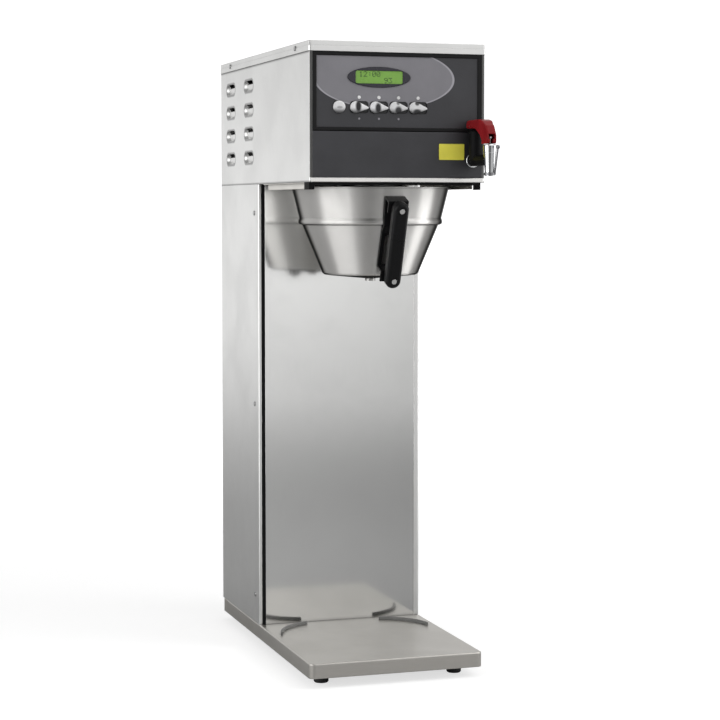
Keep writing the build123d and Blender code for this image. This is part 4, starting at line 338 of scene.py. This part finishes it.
def make_marks_group():
    """Faint wiping marks and films: broad noise, bent by a second noise, between 0 and 1."""
    group, given, result = new_group(
        "Wiping marks",
        [("Size", "NodeSocketFloat", 0.12)],
        [("Marks", "NodeSocketFloat")])
    per_metre = value_step(group, "DIVIDE", 1.0, given.outputs["Size"])
    bend = group.nodes.new("ShaderNodeTexNoise")
    bend.inputs["Detail"].default_value = 2.0
    group.links.new(object_point(group), bend.inputs["Vector"])
    group.links.new(per_metre, bend.inputs["Scale"])
    moved = vector_step(group, "MULTIPLY_ADD", bend.outputs["Color"], (0.06, 0.06, 0.06), object_point(group))
    noise = group.nodes.new("ShaderNodeTexNoise")
    noise.inputs["Detail"].default_value = 5.0
    noise.inputs["Roughness"].default_value = 0.6
    group.links.new(moved["Vector"], noise.inputs["Vector"])
    group.links.new(per_metre, noise.inputs["Scale"])
    group.links.new(span_step(group, noise.outputs["Fac"], 0.35, 0.70, smooth=True), result.inputs["Marks"])
    return group


def make_moulded_group():
    """Moulded plastic skin: a fine leather of small cells over a slow drift of shade."""
    group, given, result = new_group(
        "Moulded skin",
        [("Pitch", "NodeSocketFloat", 0.5 * MM)],
        [("Shade", "NodeSocketFloat"), ("Height", "NodeSocketFloat")])
    per_metre = value_step(group, "DIVIDE", 1.0, given.outputs["Pitch"])
    cells = group.nodes.new("ShaderNodeTexVoronoi")
    cells.feature = "SMOOTH_F1"
    group.links.new(object_point(group), cells.inputs["Vector"])
    group.links.new(per_metre, cells.inputs["Scale"])
    drift = group.nodes.new("ShaderNodeTexNoise")
    drift.inputs["Scale"].default_value = 24.0
    drift.inputs["Detail"].default_value = 4.0
    group.links.new(object_point(group), drift.inputs["Vector"])
    group.links.new(cells.outputs["Distance"], result.inputs["Height"])
    group.links.new(span_step(group, drift.outputs["Fac"], 0.3, 0.7), result.inputs["Shade"])
    return group


def shared_group(name):
    """The group of that name, built the first time it is asked for."""
    makers = {
        "Brushed grain": make_grain_group,
        "Rounded edges": make_edge_group,
        "Wiping marks": make_marks_group,
        "Moulded skin": make_moulded_group,
        "Seam shade": make_seam_group,
        "Front oval": make_oval_group,
        "Louvre shade": make_louvre_group,
    }
    return bpy.data.node_groups.get(name) or makers[name]()


def place_group(tree, name, **given):
    """Puts a shared group in a material with its own values."""
    node = tree.nodes.new("ShaderNodeGroup")
    node.node_tree = shared_group(name)
    for label, number in given.items():
        node.inputs[label.replace("_", " ")].default_value = number
    return node


# Materials


def new_material(name):
    """An empty material with one Principled shader."""
    material = bpy.data.materials.new(name)
    material.use_nodes = True
    tree = material.node_tree
    tree.nodes.clear()
    shader = tree.nodes.new("ShaderNodeBsdfPrincipled")
    tree.links.new(shader.outputs["BSDF"], tree.nodes.new("ShaderNodeOutputMaterial").inputs["Surface"])
    return material, tree, shader


def open_material(material):
    """The node tree, the shader and the present colour of a finished material, to paint over it."""
    tree = material.node_tree
    shader = next(node for node in tree.nodes if node.type == "BSDF_PRINCIPLED")
    return tree, shader, shader.inputs["Base Color"].links[0].from_socket


def add_relief(tree, shader, height, depth, normal):
    """Feeds the shader's normal with a bump of the given depth in metres over the given normal."""
    bump = tree.nodes.new("ShaderNodeBump")
    bump.inputs["Strength"].default_value = 1.0
    bump.inputs["Distance"].default_value = depth
    tree.links.new(height, bump.inputs["Height"])
    tree.links.new(normal, bump.inputs["Normal"])
    tree.links.new(bump.outputs["Normal"], shader.inputs["Normal"])


def steel(name, colour, roughness, stretch, radius=0.9 * MM, grain_depth=0.004 * MM, contrast=0.06,
          marks=0.05, spun=0.0, seam=6.0 * MM, rim=0.0, wear_and_highlight=1.22):
    """Bare steel with a brushed grain, faint wiping marks and bright edges, partly wear and partly painted
    highlight.

    contrast is the grain's share of the colour, and marks what a wiping mark adds to the roughness. spun
    stretches the gloss across lines that were turned round the piece's own axis; seam is the reach of the
    painted shade in inner corners; rim paints a dark reflection on the steel where it turns away from the
    viewer, and wear_and_highlight brightens its folded edges as wear and painted highlight."""
    material, tree, shader = new_material(name)
    grain = place_group(tree, "Brushed grain", Stretch=stretch)
    edges = place_group(tree, "Rounded edges", Radius=radius)
    wiped = place_group(tree, "Wiping marks")
    colour = np.array(colour)
    deep, high = colour * (1.0 - contrast), colour * (1.0 + contrast)
    # Colours: the film of wiping marks, the edge colour of wear and painted highlight, and the near black of
    # the painted shade in seams
    filmed, worn_highlight_colour, painted_shade = colour * 0.90, np.minimum(colour * wear_and_highlight, 0.95), colour * 0.12
    grained = blend_colours(tree, grain.outputs["Shade"], deep, high)
    dulled = blend_colours(tree, value_step(tree, "MULTIPLY", wiped.outputs["Marks"], 0.5), grained, filmed)
    # Folded edges brightened, partly as wear and partly as painted highlight
    edge_wear_and_highlight = value_step(tree, "MULTIPLY", edges.outputs["Edge"], 0.6)
    # Painted shade in seams and inner corners, from how closed the surroundings are
    seams = place_group(tree, "Seam shade", Reach=seam)
    shaded = value_step(tree, "MULTIPLY", seams.outputs["Shade"], 0.75)
    shown = blend_colours(tree, shaded, blend_colours(tree, edge_wear_and_highlight, dulled, worn_highlight_colour), painted_shade)
    # Painted dark reflection on the steel where it turns away from the viewer
    if rim:
        turned = tree.nodes.new("ShaderNodeLayerWeight").outputs["Facing"]
        away = span_step(tree, turned, 0.60, 0.82, 0.0, rim, smooth=True)
        shown = blend_colours(tree, away, shown, colour * 0.05)
        shader.inputs["Specular Tint"].default_value = (0.25, 0.25, 0.25, 1.0)
    tree.links.new(shown, shader.inputs["Base Color"])
    rough = value_step(tree, "MULTIPLY_ADD", grain.outputs["Shade"], 0.10, roughness - 0.05)
    smeared = value_step(tree, "MULTIPLY_ADD", wiped.outputs["Marks"], marks, rough)
    tree.links.new(smeared, shader.inputs["Roughness"])
    shader.inputs["Metallic"].default_value = 1.0
    shader.inputs["Anisotropic"].default_value = spun
    shader.inputs["Anisotropic Rotation"].default_value = 0.25
    add_relief(tree, shader, grain.outputs["Height"], grain_depth, edges.outputs["Normal"])
    return material


def plastic(name, colour, roughness, pitch=0.5 * MM, depth=0.006 * MM, radius=0.6 * MM, wear_and_highlight=1.8,
            coat=0.0, gloss=0.5, seam=0.0):
    """Moulded plastic with a fine skin, drifting shade and paler edges, partly wear and partly painted
    highlight.

    gloss is its specular level, wear_and_highlight how much paler its edges grow as wear and painted
    highlight, and seam the reach of the painted shade beside other pieces."""
    material, tree, shader = new_material(name)
    skin = place_group(tree, "Moulded skin", Pitch=pitch)
    edges = place_group(tree, "Rounded edges", Radius=radius)
    wiped = place_group(tree, "Wiping marks", Size=0.05)
    colour = np.array(colour)
    shaded = blend_colours(tree, skin.outputs["Shade"], colour * 0.88, np.minimum(colour * 1.12, 1.0))
    # Paler edges, partly wear and partly painted highlight
    edge_wear_and_highlight = value_step(tree, "MULTIPLY", edges.outputs["Edge"], 0.5)
    paler = np.minimum(colour * wear_and_highlight + 0.006, 1.0)
    shown = blend_colours(tree, edge_wear_and_highlight, shaded, paler)
    # Painted shade beside other pieces
    if seam:
        close = place_group(tree, "Seam shade", Reach=seam)
        shown = blend_colours(tree, close.outputs["Shade"], shown, colour * 0.1)
    tree.links.new(shown, shader.inputs["Base Color"])
    rough = value_step(tree, "MULTIPLY_ADD", wiped.outputs["Marks"], 0.12, roughness)
    tree.links.new(rough, shader.inputs["Roughness"])
    shader.inputs["Coat Weight"].default_value = coat
    shader.inputs["Specular IOR Level"].default_value = gloss
    add_relief(tree, shader, skin.outputs["Height"], depth, edges.outputs["Normal"])
    return material


def front_steel(colour, stretch, radius):
    """Polished steel of the column's front, darkened with painted shade towards the user's right."""
    material = steel("Polished front steel", colour, 0.10, stretch, radius, 0.0008 * MM, 0.02, 0.03)
    tree, shader, shown = open_material(material)
    # Painted shade: the colour darkens towards the user's right
    right_side_shade = span_step(tree, coordinates(tree)["X"], -0.11, 0.12, 0.0, 0.28)
    tree.links.new(blend_colours(tree, right_side_shade, shown, np.array(colour) * 0.3), shader.inputs["Base Color"])
    return material


def head_steel(colour, roughness, stretch, radius):
    """Sheet steel of the head sides, with painted shade round the louvres, a painted shadow line under the
    lid and painted shade at the lower fold.

    The front flange is darkened with painted shade above the bottom trim."""
    material = steel("Head side steel", colour, roughness, stretch, radius)
    tree, shader, shown = open_material(material)
    point = coordinates(tree)
    front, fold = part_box("head_side_left")[0].y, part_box("head_side_left")[0].z
    # Painted shade round the louvres, a painted shadow line under the lid, painted shade at the lower fold
    # and on the front flange
    ring = value_step(tree, "MULTIPLY", place_group(tree, "Louvre shade").outputs["Shade"], 0.8)
    gap = value_step(tree, "ABSOLUTE", value_step(tree, "SUBTRACT", point["Z"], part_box("lid")[0].z))
    upper_line = span_step(tree, gap, 0.0, 3.6 * MM, 0.9, 0.0)
    lower_line = span_step(tree, point["Z"], fold + 0.5 * MM, fold + 3.5 * MM, 0.8, 0.0)
    edge = span_step(tree, point["Y"], front + 0.8 * MM, front + 1.8 * MM, 0.93, 0.0)
    above_trim = value_step(tree, "GREATER_THAN", point["Z"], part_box("bottom_trim")[1].z)
    painted_shade = value_step(tree, "MULTIPLY", edge, above_trim)
    for shade in (ring, upper_line, lower_line):
        painted_shade = value_step(tree, "MAXIMUM", painted_shade, shade)
    tree.links.new(blend_colours(tree, painted_shade, shown, np.array(colour) * 0.08), shader.inputs["Base Color"])
    return material


def overlay_film(colours):
    """Charcoal film with a lighter sweep, its pale rim, three small printed dots under the buttons, and
    painted shade near the pieces in front of it.

    The sweep is an oval field that also fills the corner above and left of its centre."""
    material, tree, shader = new_material("Overlay film")
    skin = place_group(tree, "Moulded skin", Pitch=0.4 * MM)
    edges = place_group(tree, "Rounded edges", Radius=0.3 * MM)
    wiped = place_group(tree, "Wiping marks", Size=0.05)
    dark, pale = np.array(colours.charcoal), np.array(colours.sweep)
    sweep = place_group(tree, "Front oval", Centre=SWEEP_CENTRE, Half_size=SWEEP_HALF_SIZE,
                        Rim=0.028, Softness=0.006)
    base = blend_colours(tree, skin.outputs["Shade"], dark * 0.9, dark * 1.1)
    field = blend_colours(tree, skin.outputs["Shade"], pale * 0.94, pale * 1.06)
    point = coordinates(tree)
    corner = value_step(tree, "MULTIPLY", value_step(tree, "LESS_THAN", point["X"], SWEEP_CENTRE[0]),
                        value_step(tree, "GREATER_THAN", point["Z"], SWEEP_CENTRE[2]))
    filled = value_step(tree, "MAXIMUM", sweep.outputs["Field"], corner)
    rim = value_step(tree, "SUBTRACT", sweep.outputs["Rim"], corner, clamp=True)
    shown = blend_colours(tree, filled, base, field)
    shown = blend_colours(tree, rim, shown, np.minimum(pale * 1.7, 1.0))
    for name in ("brew_button_1", "brew_button_2", "brew_button_3"):
        low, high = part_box(name)
        dot = place_group(tree, "Front oval", Centre=((low.x + high.x) / 2, 0.0, low.z - 6.0 * MM),
                          Half_size=(1.8 * MM, 1.0, 1.8 * MM), Rim=0.0, Softness=0.3)
        shown = blend_colours(tree, dot.outputs["Field"], shown, pale * 1.3)
    # Painted shade: the film darkens near the faucet and other pieces close to it
    close = place_group(tree, "Seam shade", Reach=40.0 * MM)
    shown = blend_colours(tree, value_step(tree, "MULTIPLY", close.outputs["Shade"], 0.8), shown, dark * 0.1)
    tree.links.new(shown, shader.inputs["Base Color"])
    rough = value_step(tree, "MULTIPLY_ADD", wiped.outputs["Marks"], 0.10, 0.38)
    tree.links.new(rough, shader.inputs["Roughness"])
    add_relief(tree, shader, skin.outputs["Height"], 0.006 * MM, edges.outputs["Normal"])
    return material


def button_lacquer(colours):
    """Silver lacquer with dark marks, partly printed icons and partly painted shade and reflection, painted
    shade below the middle of the cap, and dark on its flange.
    """
    material = plastic("Button lacquer", tuple(colours.silver), 0.24, depth=0.002 * MM, radius=0.8 * MM,
                       wear_and_highlight=1.1, gloss=0.3)
    tree, shader, shown = open_material(material)
    point = coordinates(tree)
    low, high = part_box("brew_button_1")
    middle = (low.z + high.z) / 2
    # Painted shade below the middle of the cap
    lower_painted_shade = span_step(tree, point["Z"], middle + 0.5 * MM, middle - 8.0 * MM, 0.0, 0.85, smooth=True)
    flange = span_step(tree, point["Y"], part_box("control_overlay")[0].y, high.y - 1.5 * MM, 0.0, 0.97)
    for shade in (lower_painted_shade, flange):
        shown = blend_colours(tree, shade, shown, BUTTON_SHADE)
    # Marks: partly printed icons, partly painted shade and reflection
    for name, aside, above, half_width, half_height, darkness in BUTTON_MARKS:
        low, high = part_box(name)
        centre = ((low.x + high.x) / 2 + aside * MM, 0.0, (low.z + high.z) / 2 + above * MM)
        mark = place_group(tree, "Front oval", Centre=centre,
                           Half_size=(half_width * MM, 1.0, half_height * MM), Rim=0.0, Softness=0.45)
        shade = value_step(tree, "MULTIPLY", mark.outputs["Field"], darkness)
        shown = blend_colours(tree, shade, shown, BUTTON_SHADE)
    tree.links.new(shown, shader.inputs["Base Color"])
    return material


def dress(material, *names):
    """Gives the named imported pieces one material."""
    for name in names:
        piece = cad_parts[name]
        if not piece.material_slots:
            piece.data.materials.append(material)
        for slot in piece.material_slots:
            slot.material = material


# The operators, one for each group of like pieces, each after the shapes it makes


class BREWER_OT_cabinet(Operator):
    """Brushed steel of the cabinet: base, column, head, lid and screws"""

    bl_idname = "brewer.cabinet"
    bl_label = "Cabinet steel"

    def execute(self, context):
        colours, sizes = context.scene.brewer_colours, context.scene.brewer_sizes
        across = GRAIN_ACROSS / sizes.grain
        upright = (across, across, GRAIN_ALONG)
        sideways = (GRAIN_ALONG, across, across)
        lengthways = (across, GRAIN_ALONG, across)
        sheet = tuple(colours.sheet)
        dress(steel("Sheet steel upright grain", sheet, 0.34, upright, sizes.fold),
              "column_side_left", "column_side_right", "back_panel")
        dress(steel("Sheet steel level grain", sheet, 0.34, sideways, sizes.fold), "lid", "head_floor")
        dress(head_steel(sheet, 0.34, upright, sizes.fold), "head_side_left", "head_side_right")
        dress(steel("Base steel", (0.57, 0.55, 0.515), 0.34, sideways, 2.2 * MM, wear_and_highlight=1.75), "base_pan")
        dress(front_steel(tuple(colours.mirror), upright, sizes.fold), "column_front_panel")
        dress(steel("Bright trim steel", (0.80, 0.79, 0.77), 0.25, sideways, 0.5 * MM), "bottom_trim")
        dress(steel("Rail steel", (0.66, 0.64, 0.60), 0.32, lengthways, 0.5 * MM),
              "funnel_rail_left", "funnel_rail_right")
        dress(steel("Screw steel", (0.42, 0.42, 0.42), 0.30, GRAIN_FINE, 0.3 * MM), "panel_screws")
        # Black seam strip and front skirt; the skirt's thin band is partly a real black piece and partly a
        # dark piece standing in for the shade under the head
        dress(plastic("Seam strip plastic", tuple(colours.black), 0.6, gloss=0.1),
              "column_seam_strip", "front_skirt")
        dress(plastic("Foot rubber", (0.018, 0.018, 0.018), 0.7, 0.8 * MM, 0.03 * MM), "feet")
        dress(plastic("Guide plastic", (0.15, 0.15, 0.145), 0.5), "server_guide_left", "server_guide_right")
        dress(plastic("Gland plastic", tuple(colours.black), 0.5), "cable_gland")
        return {"FINISHED"}


class BREWER_OT_funnel(Operator):
    """Spun steel funnel, its basket and its handle"""

    bl_idname = "brewer.funnel"
    bl_label = "Brew funnel"

    def execute(self, context):
        colours = context.scene.brewer_colours
        # The rim setting paints a dark reflection along the funnel's turned-away edges
        dress(steel("Spun funnel steel", tuple(colours.funnel), 0.40, GRAIN_SPUN, 0.6 * MM, 0.001 * MM,
                    0.03, 0.04, spun=0.95, seam=3.0 * MM, rim=0.97), "brew_funnel")
        dress(steel("Basket steel", (0.62, 0.62, 0.61), 0.30, GRAIN_SPUN, 0.4 * MM), "filter_basket")
        dress(plastic("Grip plastic", tuple(colours.black), 0.26, 0.6 * MM, 0.01 * MM, 1.2 * MM, gloss=0.18),
              "funnel_handle_grip", "funnel_handle_strap")
        dress(steel("Handle screw steel", (0.72, 0.72, 0.71), 0.22, GRAIN_FINE, 0.3 * MM), "handle_screws")
        return {"FINISHED"}


class BREWER_OT_controls(Operator):
    """Control panel: frame, overlay with its grey sweep, lower panel and plate"""

    bl_idname = "brewer.controls"
    bl_label = "Control panel"

    def execute(self, context):
        colours, sizes = context.scene.brewer_colours, context.scene.brewer_sizes
        dress(plastic("Frame plastic", tuple(colours.black), 0.36, radius=sizes.moulded_edge, gloss=0.2),
              "control_bezel")
        dress(plastic("Charcoal panel", tuple(colours.charcoal), 0.42, 0.5 * MM, 0.01 * MM, seam=40.0 * MM),
              "lower_front_panel")
        dress(overlay_film(colours), "control_overlay")
        dress(plastic("Plate yellow", tuple(colours.plate), 0.35, radius=0.3 * MM, wear_and_highlight=1.0), "yellow_plate")
        dress(plastic("Board lacquer", (0.02, 0.10, 0.04), 0.4), "control_board")
        return {"FINISHED"}


def dot_places(line, aside, above):
    """Sideways and upward places of the lit dots of a line of characters round (aside, above).

    Characters are five dots wide and seven high, one dot apart."""
    rows = np.array([DIGIT_ROWS[mark] for mark in line])
    bits = (rows[:, :, None] >> np.arange(4, -1, -1)) & 1
    mark, row, column = np.nonzero(bits)
    across = (mark * 6 + column - (6 * len(line) - 2) / 2) * DOT_PITCH
    return across + aside, above + (3 - row) * DOT_PITCH


def dot_domes(across, upward, middle):
    """Small square cushions, one for each dot, as one grid of points per cushion.

    Each cushion's height is its rise times (1 - u^4)(1 - v^4), with u and v from -1 to 1 across the dot."""
    u = np.linspace(-1.0, 1.0, 5)
    uu, vv = np.meshgrid(u, u)
    lift = DOT_RISE * (1.0 - uu**4) * (1.0 - vv**4)
    x = middle[0] + across[:, None, None] + DOT_HALF * uu
    z = middle[2] + upward[:, None, None] + DOT_HALF * vv
    y = middle[1] - np.broadcast_to(lift, x.shape)
    return np.stack([x, y, z], -1)


def grid_quads(index):
    """The quads between the neighbours of a grid of point numbers."""
    return np.stack([index[:-1, :-1], index[:-1, 1:], index[1:, 1:], index[1:, :-1]], -1).reshape(-1, 4)


def cushions_mesh(name, grids):
    """One mesh from many equal grids of points, each closed by a flat back."""
    count, rows, columns = grids.shape[:3]
    back = grids.copy()
    back[..., 1] = grids[..., 1].max() + 0.02 * MM
    points = np.concatenate([grids.reshape(count, -1, 3), back.reshape(count, -1, 3)], 1)
    index = np.arange(rows * columns).reshape(rows, columns)
    front = grid_quads(index)
    behind = front[:, ::-1] + rows * columns
    rim = np.concatenate([index[0, :-1], index[:-1, -1], index[-1, :0:-1], index[:0:-1, 0]])
    after = np.roll(rim, -1)
    sides = np.stack([rim, rim + rows * columns, after + rows * columns, after], -1)
    faces = np.concatenate([front, behind, sides])
    quads = (faces[None] + (np.arange(count) * points.shape[1])[:, None, None]).reshape(-1, 4)
    mesh = bpy.data.meshes.new(name)
    mesh.from_pydata(points.reshape(-1, 3).tolist(), [], quads.tolist())
    return mesh


class BREWER_OT_display(Operator):
    """Lit display behind its dark glossy lens"""

    bl_idname = "brewer.display"
    bl_label = "Display"

    def execute(self, context):
        colours = context.scene.brewer_colours
        dress(plastic("Lens plastic", (0.016, 0.015, 0.024), 0.22, depth=0.0, wear_and_highlight=1.2), "lcd_bezel")
        dress(plastic("Display glass", tuple(colours.display), 0.2, depth=0.0, wear_and_highlight=1.0), "lcd_window")
        low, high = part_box("lcd_window")
        middle = ((low.x + high.x) / 2, low.y - 0.01 * MM, (low.z + high.z) / 2)
        places = np.concatenate([dot_places(*line) for line in DISPLAY_LINES], axis=1)
        grids = dot_domes(*places, middle)
        dots = bpy.data.objects.new("display_characters", cushions_mesh("display_characters", grids))
        dots.data.materials.append(plastic("Display dots", (0.035, 0.10, 0.02), 0.4, depth=0.0, wear_and_highlight=1.0))
        context.scene.collection.objects.link(dots)
        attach(dots, "brewer")
        return {"FINISHED"}


class BREWER_OT_buttons(Operator):
    """Silver push buttons and their pale lenses"""

    bl_idname = "brewer.buttons"
    bl_label = "Buttons"

    def execute(self, context):
        colours = context.scene.brewer_colours
        dress(button_lacquer(colours),
              "power_button", "brew_button_1", "brew_button_2", "brew_button_3", "brew_button_4")
        dress(plastic("Pale lens", (0.80, 0.80, 0.80), 0.25, depth=0.0, wear_and_highlight=1.0), "indicator_lenses")
        return {"FINISHED"}


class BREWER_OT_faucet(Operator):
    """Hot-water faucet: post, chrome spout, red lever and rod"""

    bl_idname = "brewer.faucet"
    bl_label = "Faucet"

    def execute(self, context):
        colours = context.scene.brewer_colours
        dress(steel("Chrome", (0.76, 0.77, 0.78), 0.09, GRAIN_EVEN, 0.5 * MM, 0.0, 0.01, 0.02),
              "faucet_ring", "faucet_spout", "faucet_bonnet")
        dress(plastic("Post plastic", tuple(colours.black), 0.50, gloss=0.08), "faucet_body")
        dress(plastic("Lever plastic", tuple(colours.lever), 0.28, 0.7 * MM, radius=1.0 * MM, wear_and_highlight=1.5,
                      coat=0.03, gloss=0.12), "faucet_lever")
        dress(steel("Stem steel", (0.62, 0.62, 0.62), 0.28, GRAIN_EVEN, 0.3 * MM),
              "faucet_stem", "faucet_spring", "lever_pin")
        dress(steel("Rod steel", (0.24, 0.24, 0.25), 0.26, GRAIN_EVEN, 0.4 * MM), "spout_rod")
        return {"FINISHED"}


class BREWER_OT_inside(Operator):
    """Tank, valves, hoses and fittings inside the head"""

    bl_idname = "brewer.inside"
    bl_label = "Inner parts"

    def execute(self, context):
        dress(steel("Inner steel", (0.58, 0.58, 0.58), 0.34, GRAIN_INNER),
              "water_tank", "tank_lid", "heating_element", "temperature_probe", "tank_shelf", "spray_head")
        dress(steel("Brass", (0.70, 0.52, 0.24), 0.30, GRAIN_EVEN, 0.4 * MM),
              "water_inlet_fitting", "faucet_shank", "faucet_nut")
        dress(plastic("Valve plastic", (0.10, 0.10, 0.11), 0.5), "dispense_valve", "fill_valve")
        dress(plastic("Silicone hose", (0.62, 0.60, 0.55), 0.45), "spray_tube", "fill_tube", "faucet_tube")
        return {"FINISHED"}


def grid_mesh(name, grid):
    """A smooth mesh of quads over a grid of points."""
    rows, columns = grid.shape[:2]
    quads = grid_quads(np.arange(rows * columns).reshape(rows, columns))
    mesh = bpy.data.meshes.new(name)
    mesh.from_pydata(grid.reshape(-1, 3).tolist(), [], quads.tolist())
    mesh.polygons.foreach_set("use_smooth", [True] * len(mesh.polygons))
    return mesh


def floor_and_wall(reach, radius):
    """Points of a floor that turns up into a wall behind the brewer, as high as its reach.

    (y, z) runs level, then on a quarter circle of the radius, then upright; x runs over the width."""
    turn = np.linspace(0.0, np.pi / 2, 25)
    y = np.concatenate(([-0.6 * reach], reach - radius + radius * np.sin(turn), [reach]))
    z = np.concatenate(([0.0], radius - radius * np.cos(turn), [reach]))
    across = np.linspace(-reach, reach, 13)
    width = len(across)
    return np.stack([np.tile(across, (len(y), 1)), np.tile(y[:, None], (1, width)),
                     np.tile(z[:, None], (1, width))], -1)


def stage_paint(pale):
    """Matt floor paint that turns white with distance.

    The added white is seen by the camera, by steel and by glass, and lights nothing else."""
    material, tree, shader = new_material("Stage paint")
    drift = place_group(tree, "Wiping marks", Size=1.5)
    drifting = blend_colours(tree, drift.outputs["Marks"], pale * 0.985, pale)
    tree.links.new(drifting, shader.inputs["Base Color"])
    shader.inputs["Roughness"].default_value = 0.95
    shader.inputs["Specular IOR Level"].default_value = 0.1
    white = tree.nodes.new("ShaderNodeEmission")
    white.inputs["Color"].default_value = (1.0, 1.0, 1.0, 1.0)
    path = tree.nodes.new("ShaderNodeLightPath")
    mirrored = value_step(tree, "ADD", path.outputs["Is Glossy Ray"], path.outputs["Is Transmission Ray"],
                          clamp=True)
    reach = vector_step(tree, "LENGTH", object_point(tree))["Value"]
    seen = span_step(tree, reach, *WHITE_SEEN, smooth=True)
    raised = span_step(tree, coordinates(tree)["Z"], *WHITE_RAISED, smooth=True)
    far = value_step(tree, "MULTIPLY", raised, span_step(tree, reach, *WHITE_MIRRORED, smooth=True))
    added = value_step(tree, "ADD", value_step(tree, "MULTIPLY", path.outputs["Is Camera Ray"], seen),
                       value_step(tree, "MULTIPLY", mirrored, far), clamp=True)
    tree.links.new(added, white.inputs["Strength"])
    both = tree.nodes.new("ShaderNodeAddShader")
    tree.links.new(shader.outputs["BSDF"], both.inputs[0])
    tree.links.new(white.outputs["Emission"], both.inputs[1])
    output = next(node for node in tree.nodes if node.type == "OUTPUT_MATERIAL")
    tree.links.new(both.outputs["Shader"], output.inputs["Surface"])
    return material


def studio_walls(world):
    """Pale studio walls, with one level per compass direction, dimmer towards the ceiling and the ground.

    The camera itself sees them white."""
    world.use_nodes = True
    tree = world.node_tree
    way = tree.nodes.new("ShaderNodeSeparateXYZ")
    tree.links.new(tree.nodes.new("ShaderNodeTexCoord").outputs["Generated"], way.inputs["Vector"])
    front = value_step(tree, "MULTIPLY", way.outputs["Y"], -1.0)
    turn = value_step(tree, "ARCTAN2", way.outputs["X"], front)
    ramp = tree.nodes.new("ShaderNodeValToRGB")
    ramp.color_ramp.interpolation = "EASE"
    tree.links.new(span_step(tree, turn, -np.pi, np.pi), ramp.inputs["Fac"])
    elements = ramp.color_ramp.elements
    for degrees, _ in WALL_LEVELS[1:-1]:
        elements.new((degrees + 180.0) / 360.0)
    for element, (_, level) in zip(elements, WALL_LEVELS):
        element.color = (level, level, level, 1.0)
    ground = span_step(tree, way.outputs["Z"], *GROUND_FADE, smooth=True)
    ceiling = span_step(tree, way.outputs["Z"], *CEILING_FADE, smooth=True)
    level = value_step(tree, "MULTIPLY", ramp.outputs["Color"], value_step(tree, "MULTIPLY", ground, ceiling))
    camera = tree.nodes.new("ShaderNodeLightPath").outputs["Is Camera Ray"]
    tree.nodes["Background"].inputs["Color"].default_value = (1.0, 1.0, 1.0, 1.0)
    tree.links.new(value_step(tree, "MAXIMUM", level, camera), tree.nodes["Background"].inputs["Strength"])


def add_softbox(name, place, target, width, height, glow):
    """A soft rectangular lamp whose face shines at the given level, turned to a target."""
    data = bpy.data.lights.new(name, "AREA")
    data.shape = "RECTANGLE"
    data.size = width
    data.size_y = height
    data.energy = glow * np.pi * width * height
    lamp = bpy.data.objects.new(name, data)
    lamp.location = place
    lamp.rotation_euler = (Vector(target) - Vector(place)).to_track_quat("-Z", "Y").to_euler()
    lamp.visible_camera = False
    bpy.context.scene.collection.objects.link(lamp)


class BREWER_OT_stage(Operator):
    """Pale floor, soft lamps and the camera"""

    bl_idname = "brewer.stage"
    bl_label = "Stage"

    def execute(self, context):
        scene = context.scene
        mesh = grid_mesh("stage_floor", floor_and_wall(FLOOR_REACH, FLOOR_BEND))
        floor = bpy.data.objects.new("stage_floor", mesh)
        floor.data.materials.append(stage_paint(np.array(scene.brewer_colours.floor) * FLOOR_SHARE))
        scene.collection.objects.link(floor)
        for lamp in SOFTBOXES:
            add_softbox(*lamp)
        world = bpy.data.worlds.new("Studio")
        scene.world = world
        studio_walls(world)
        data = bpy.data.cameras.new("photo_camera")
        data.sensor_width = SENSOR_WIDTH
        data.lens = CAMERA_LENS
        data.shift_y = CAMERA_SHIFT
        data.clip_end = CAMERA_REACH
        camera = bpy.data.objects.new("photo_camera", data)
        camera.location = CAMERA_PLACE
        camera.rotation_euler = (radians(90.0 - CAMERA_DOWN), 0.0, radians(-CAMERA_RIGHT))
        scene.collection.objects.link(camera)
        scene.camera = camera
        scene.view_settings.view_transform = "Standard"
        return {"FINISHED"}


class BREWER_PT_panel(Panel):
    """Lists the brewer's operators, colours and sizes"""

    bl_label = "Coffee brewer"
    bl_idname = "BREWER_PT_panel"
    bl_space_type = "VIEW_3D"
    bl_region_type = "UI"
    bl_category = "Brewer"

    def draw(self, context):
        for operator in OPERATORS:
            self.layout.operator(operator.bl_idname)
        for group in (context.scene.brewer_colours, context.scene.brewer_sizes):
            for label in group.__annotations__:
                self.layout.prop(group, label)


OPERATORS = (
    BREWER_OT_stage,
    BREWER_OT_cabinet,
    BREWER_OT_funnel,
    BREWER_OT_controls,
    BREWER_OT_display,
    BREWER_OT_buttons,
    BREWER_OT_faucet,
    BREWER_OT_inside,
)
CLASSES = (BrewerColours, BrewerSizes, *OPERATORS, BREWER_PT_panel)


def register():
    """Registers the classes and puts the settings on the scene."""
    for item in CLASSES:
        bpy.utils.register_class(item)
    bpy.types.Scene.brewer_colours = PointerProperty(type=BrewerColours)
    bpy.types.Scene.brewer_sizes = PointerProperty(type=BrewerSizes)


def unregister():
    """Takes the settings and the classes away again."""
    del bpy.types.Scene.brewer_sizes
    del bpy.types.Scene.brewer_colours
    for item in reversed(CLASSES):
        bpy.utils.unregister_class(item)


def main():
    """Builds the whole brewer."""
    register()
    for operator in OPERATORS:
        group, name = operator.bl_idname.split(".")
        getattr(getattr(bpy.ops, group), name)()


if __name__ == "__main__":
    main()
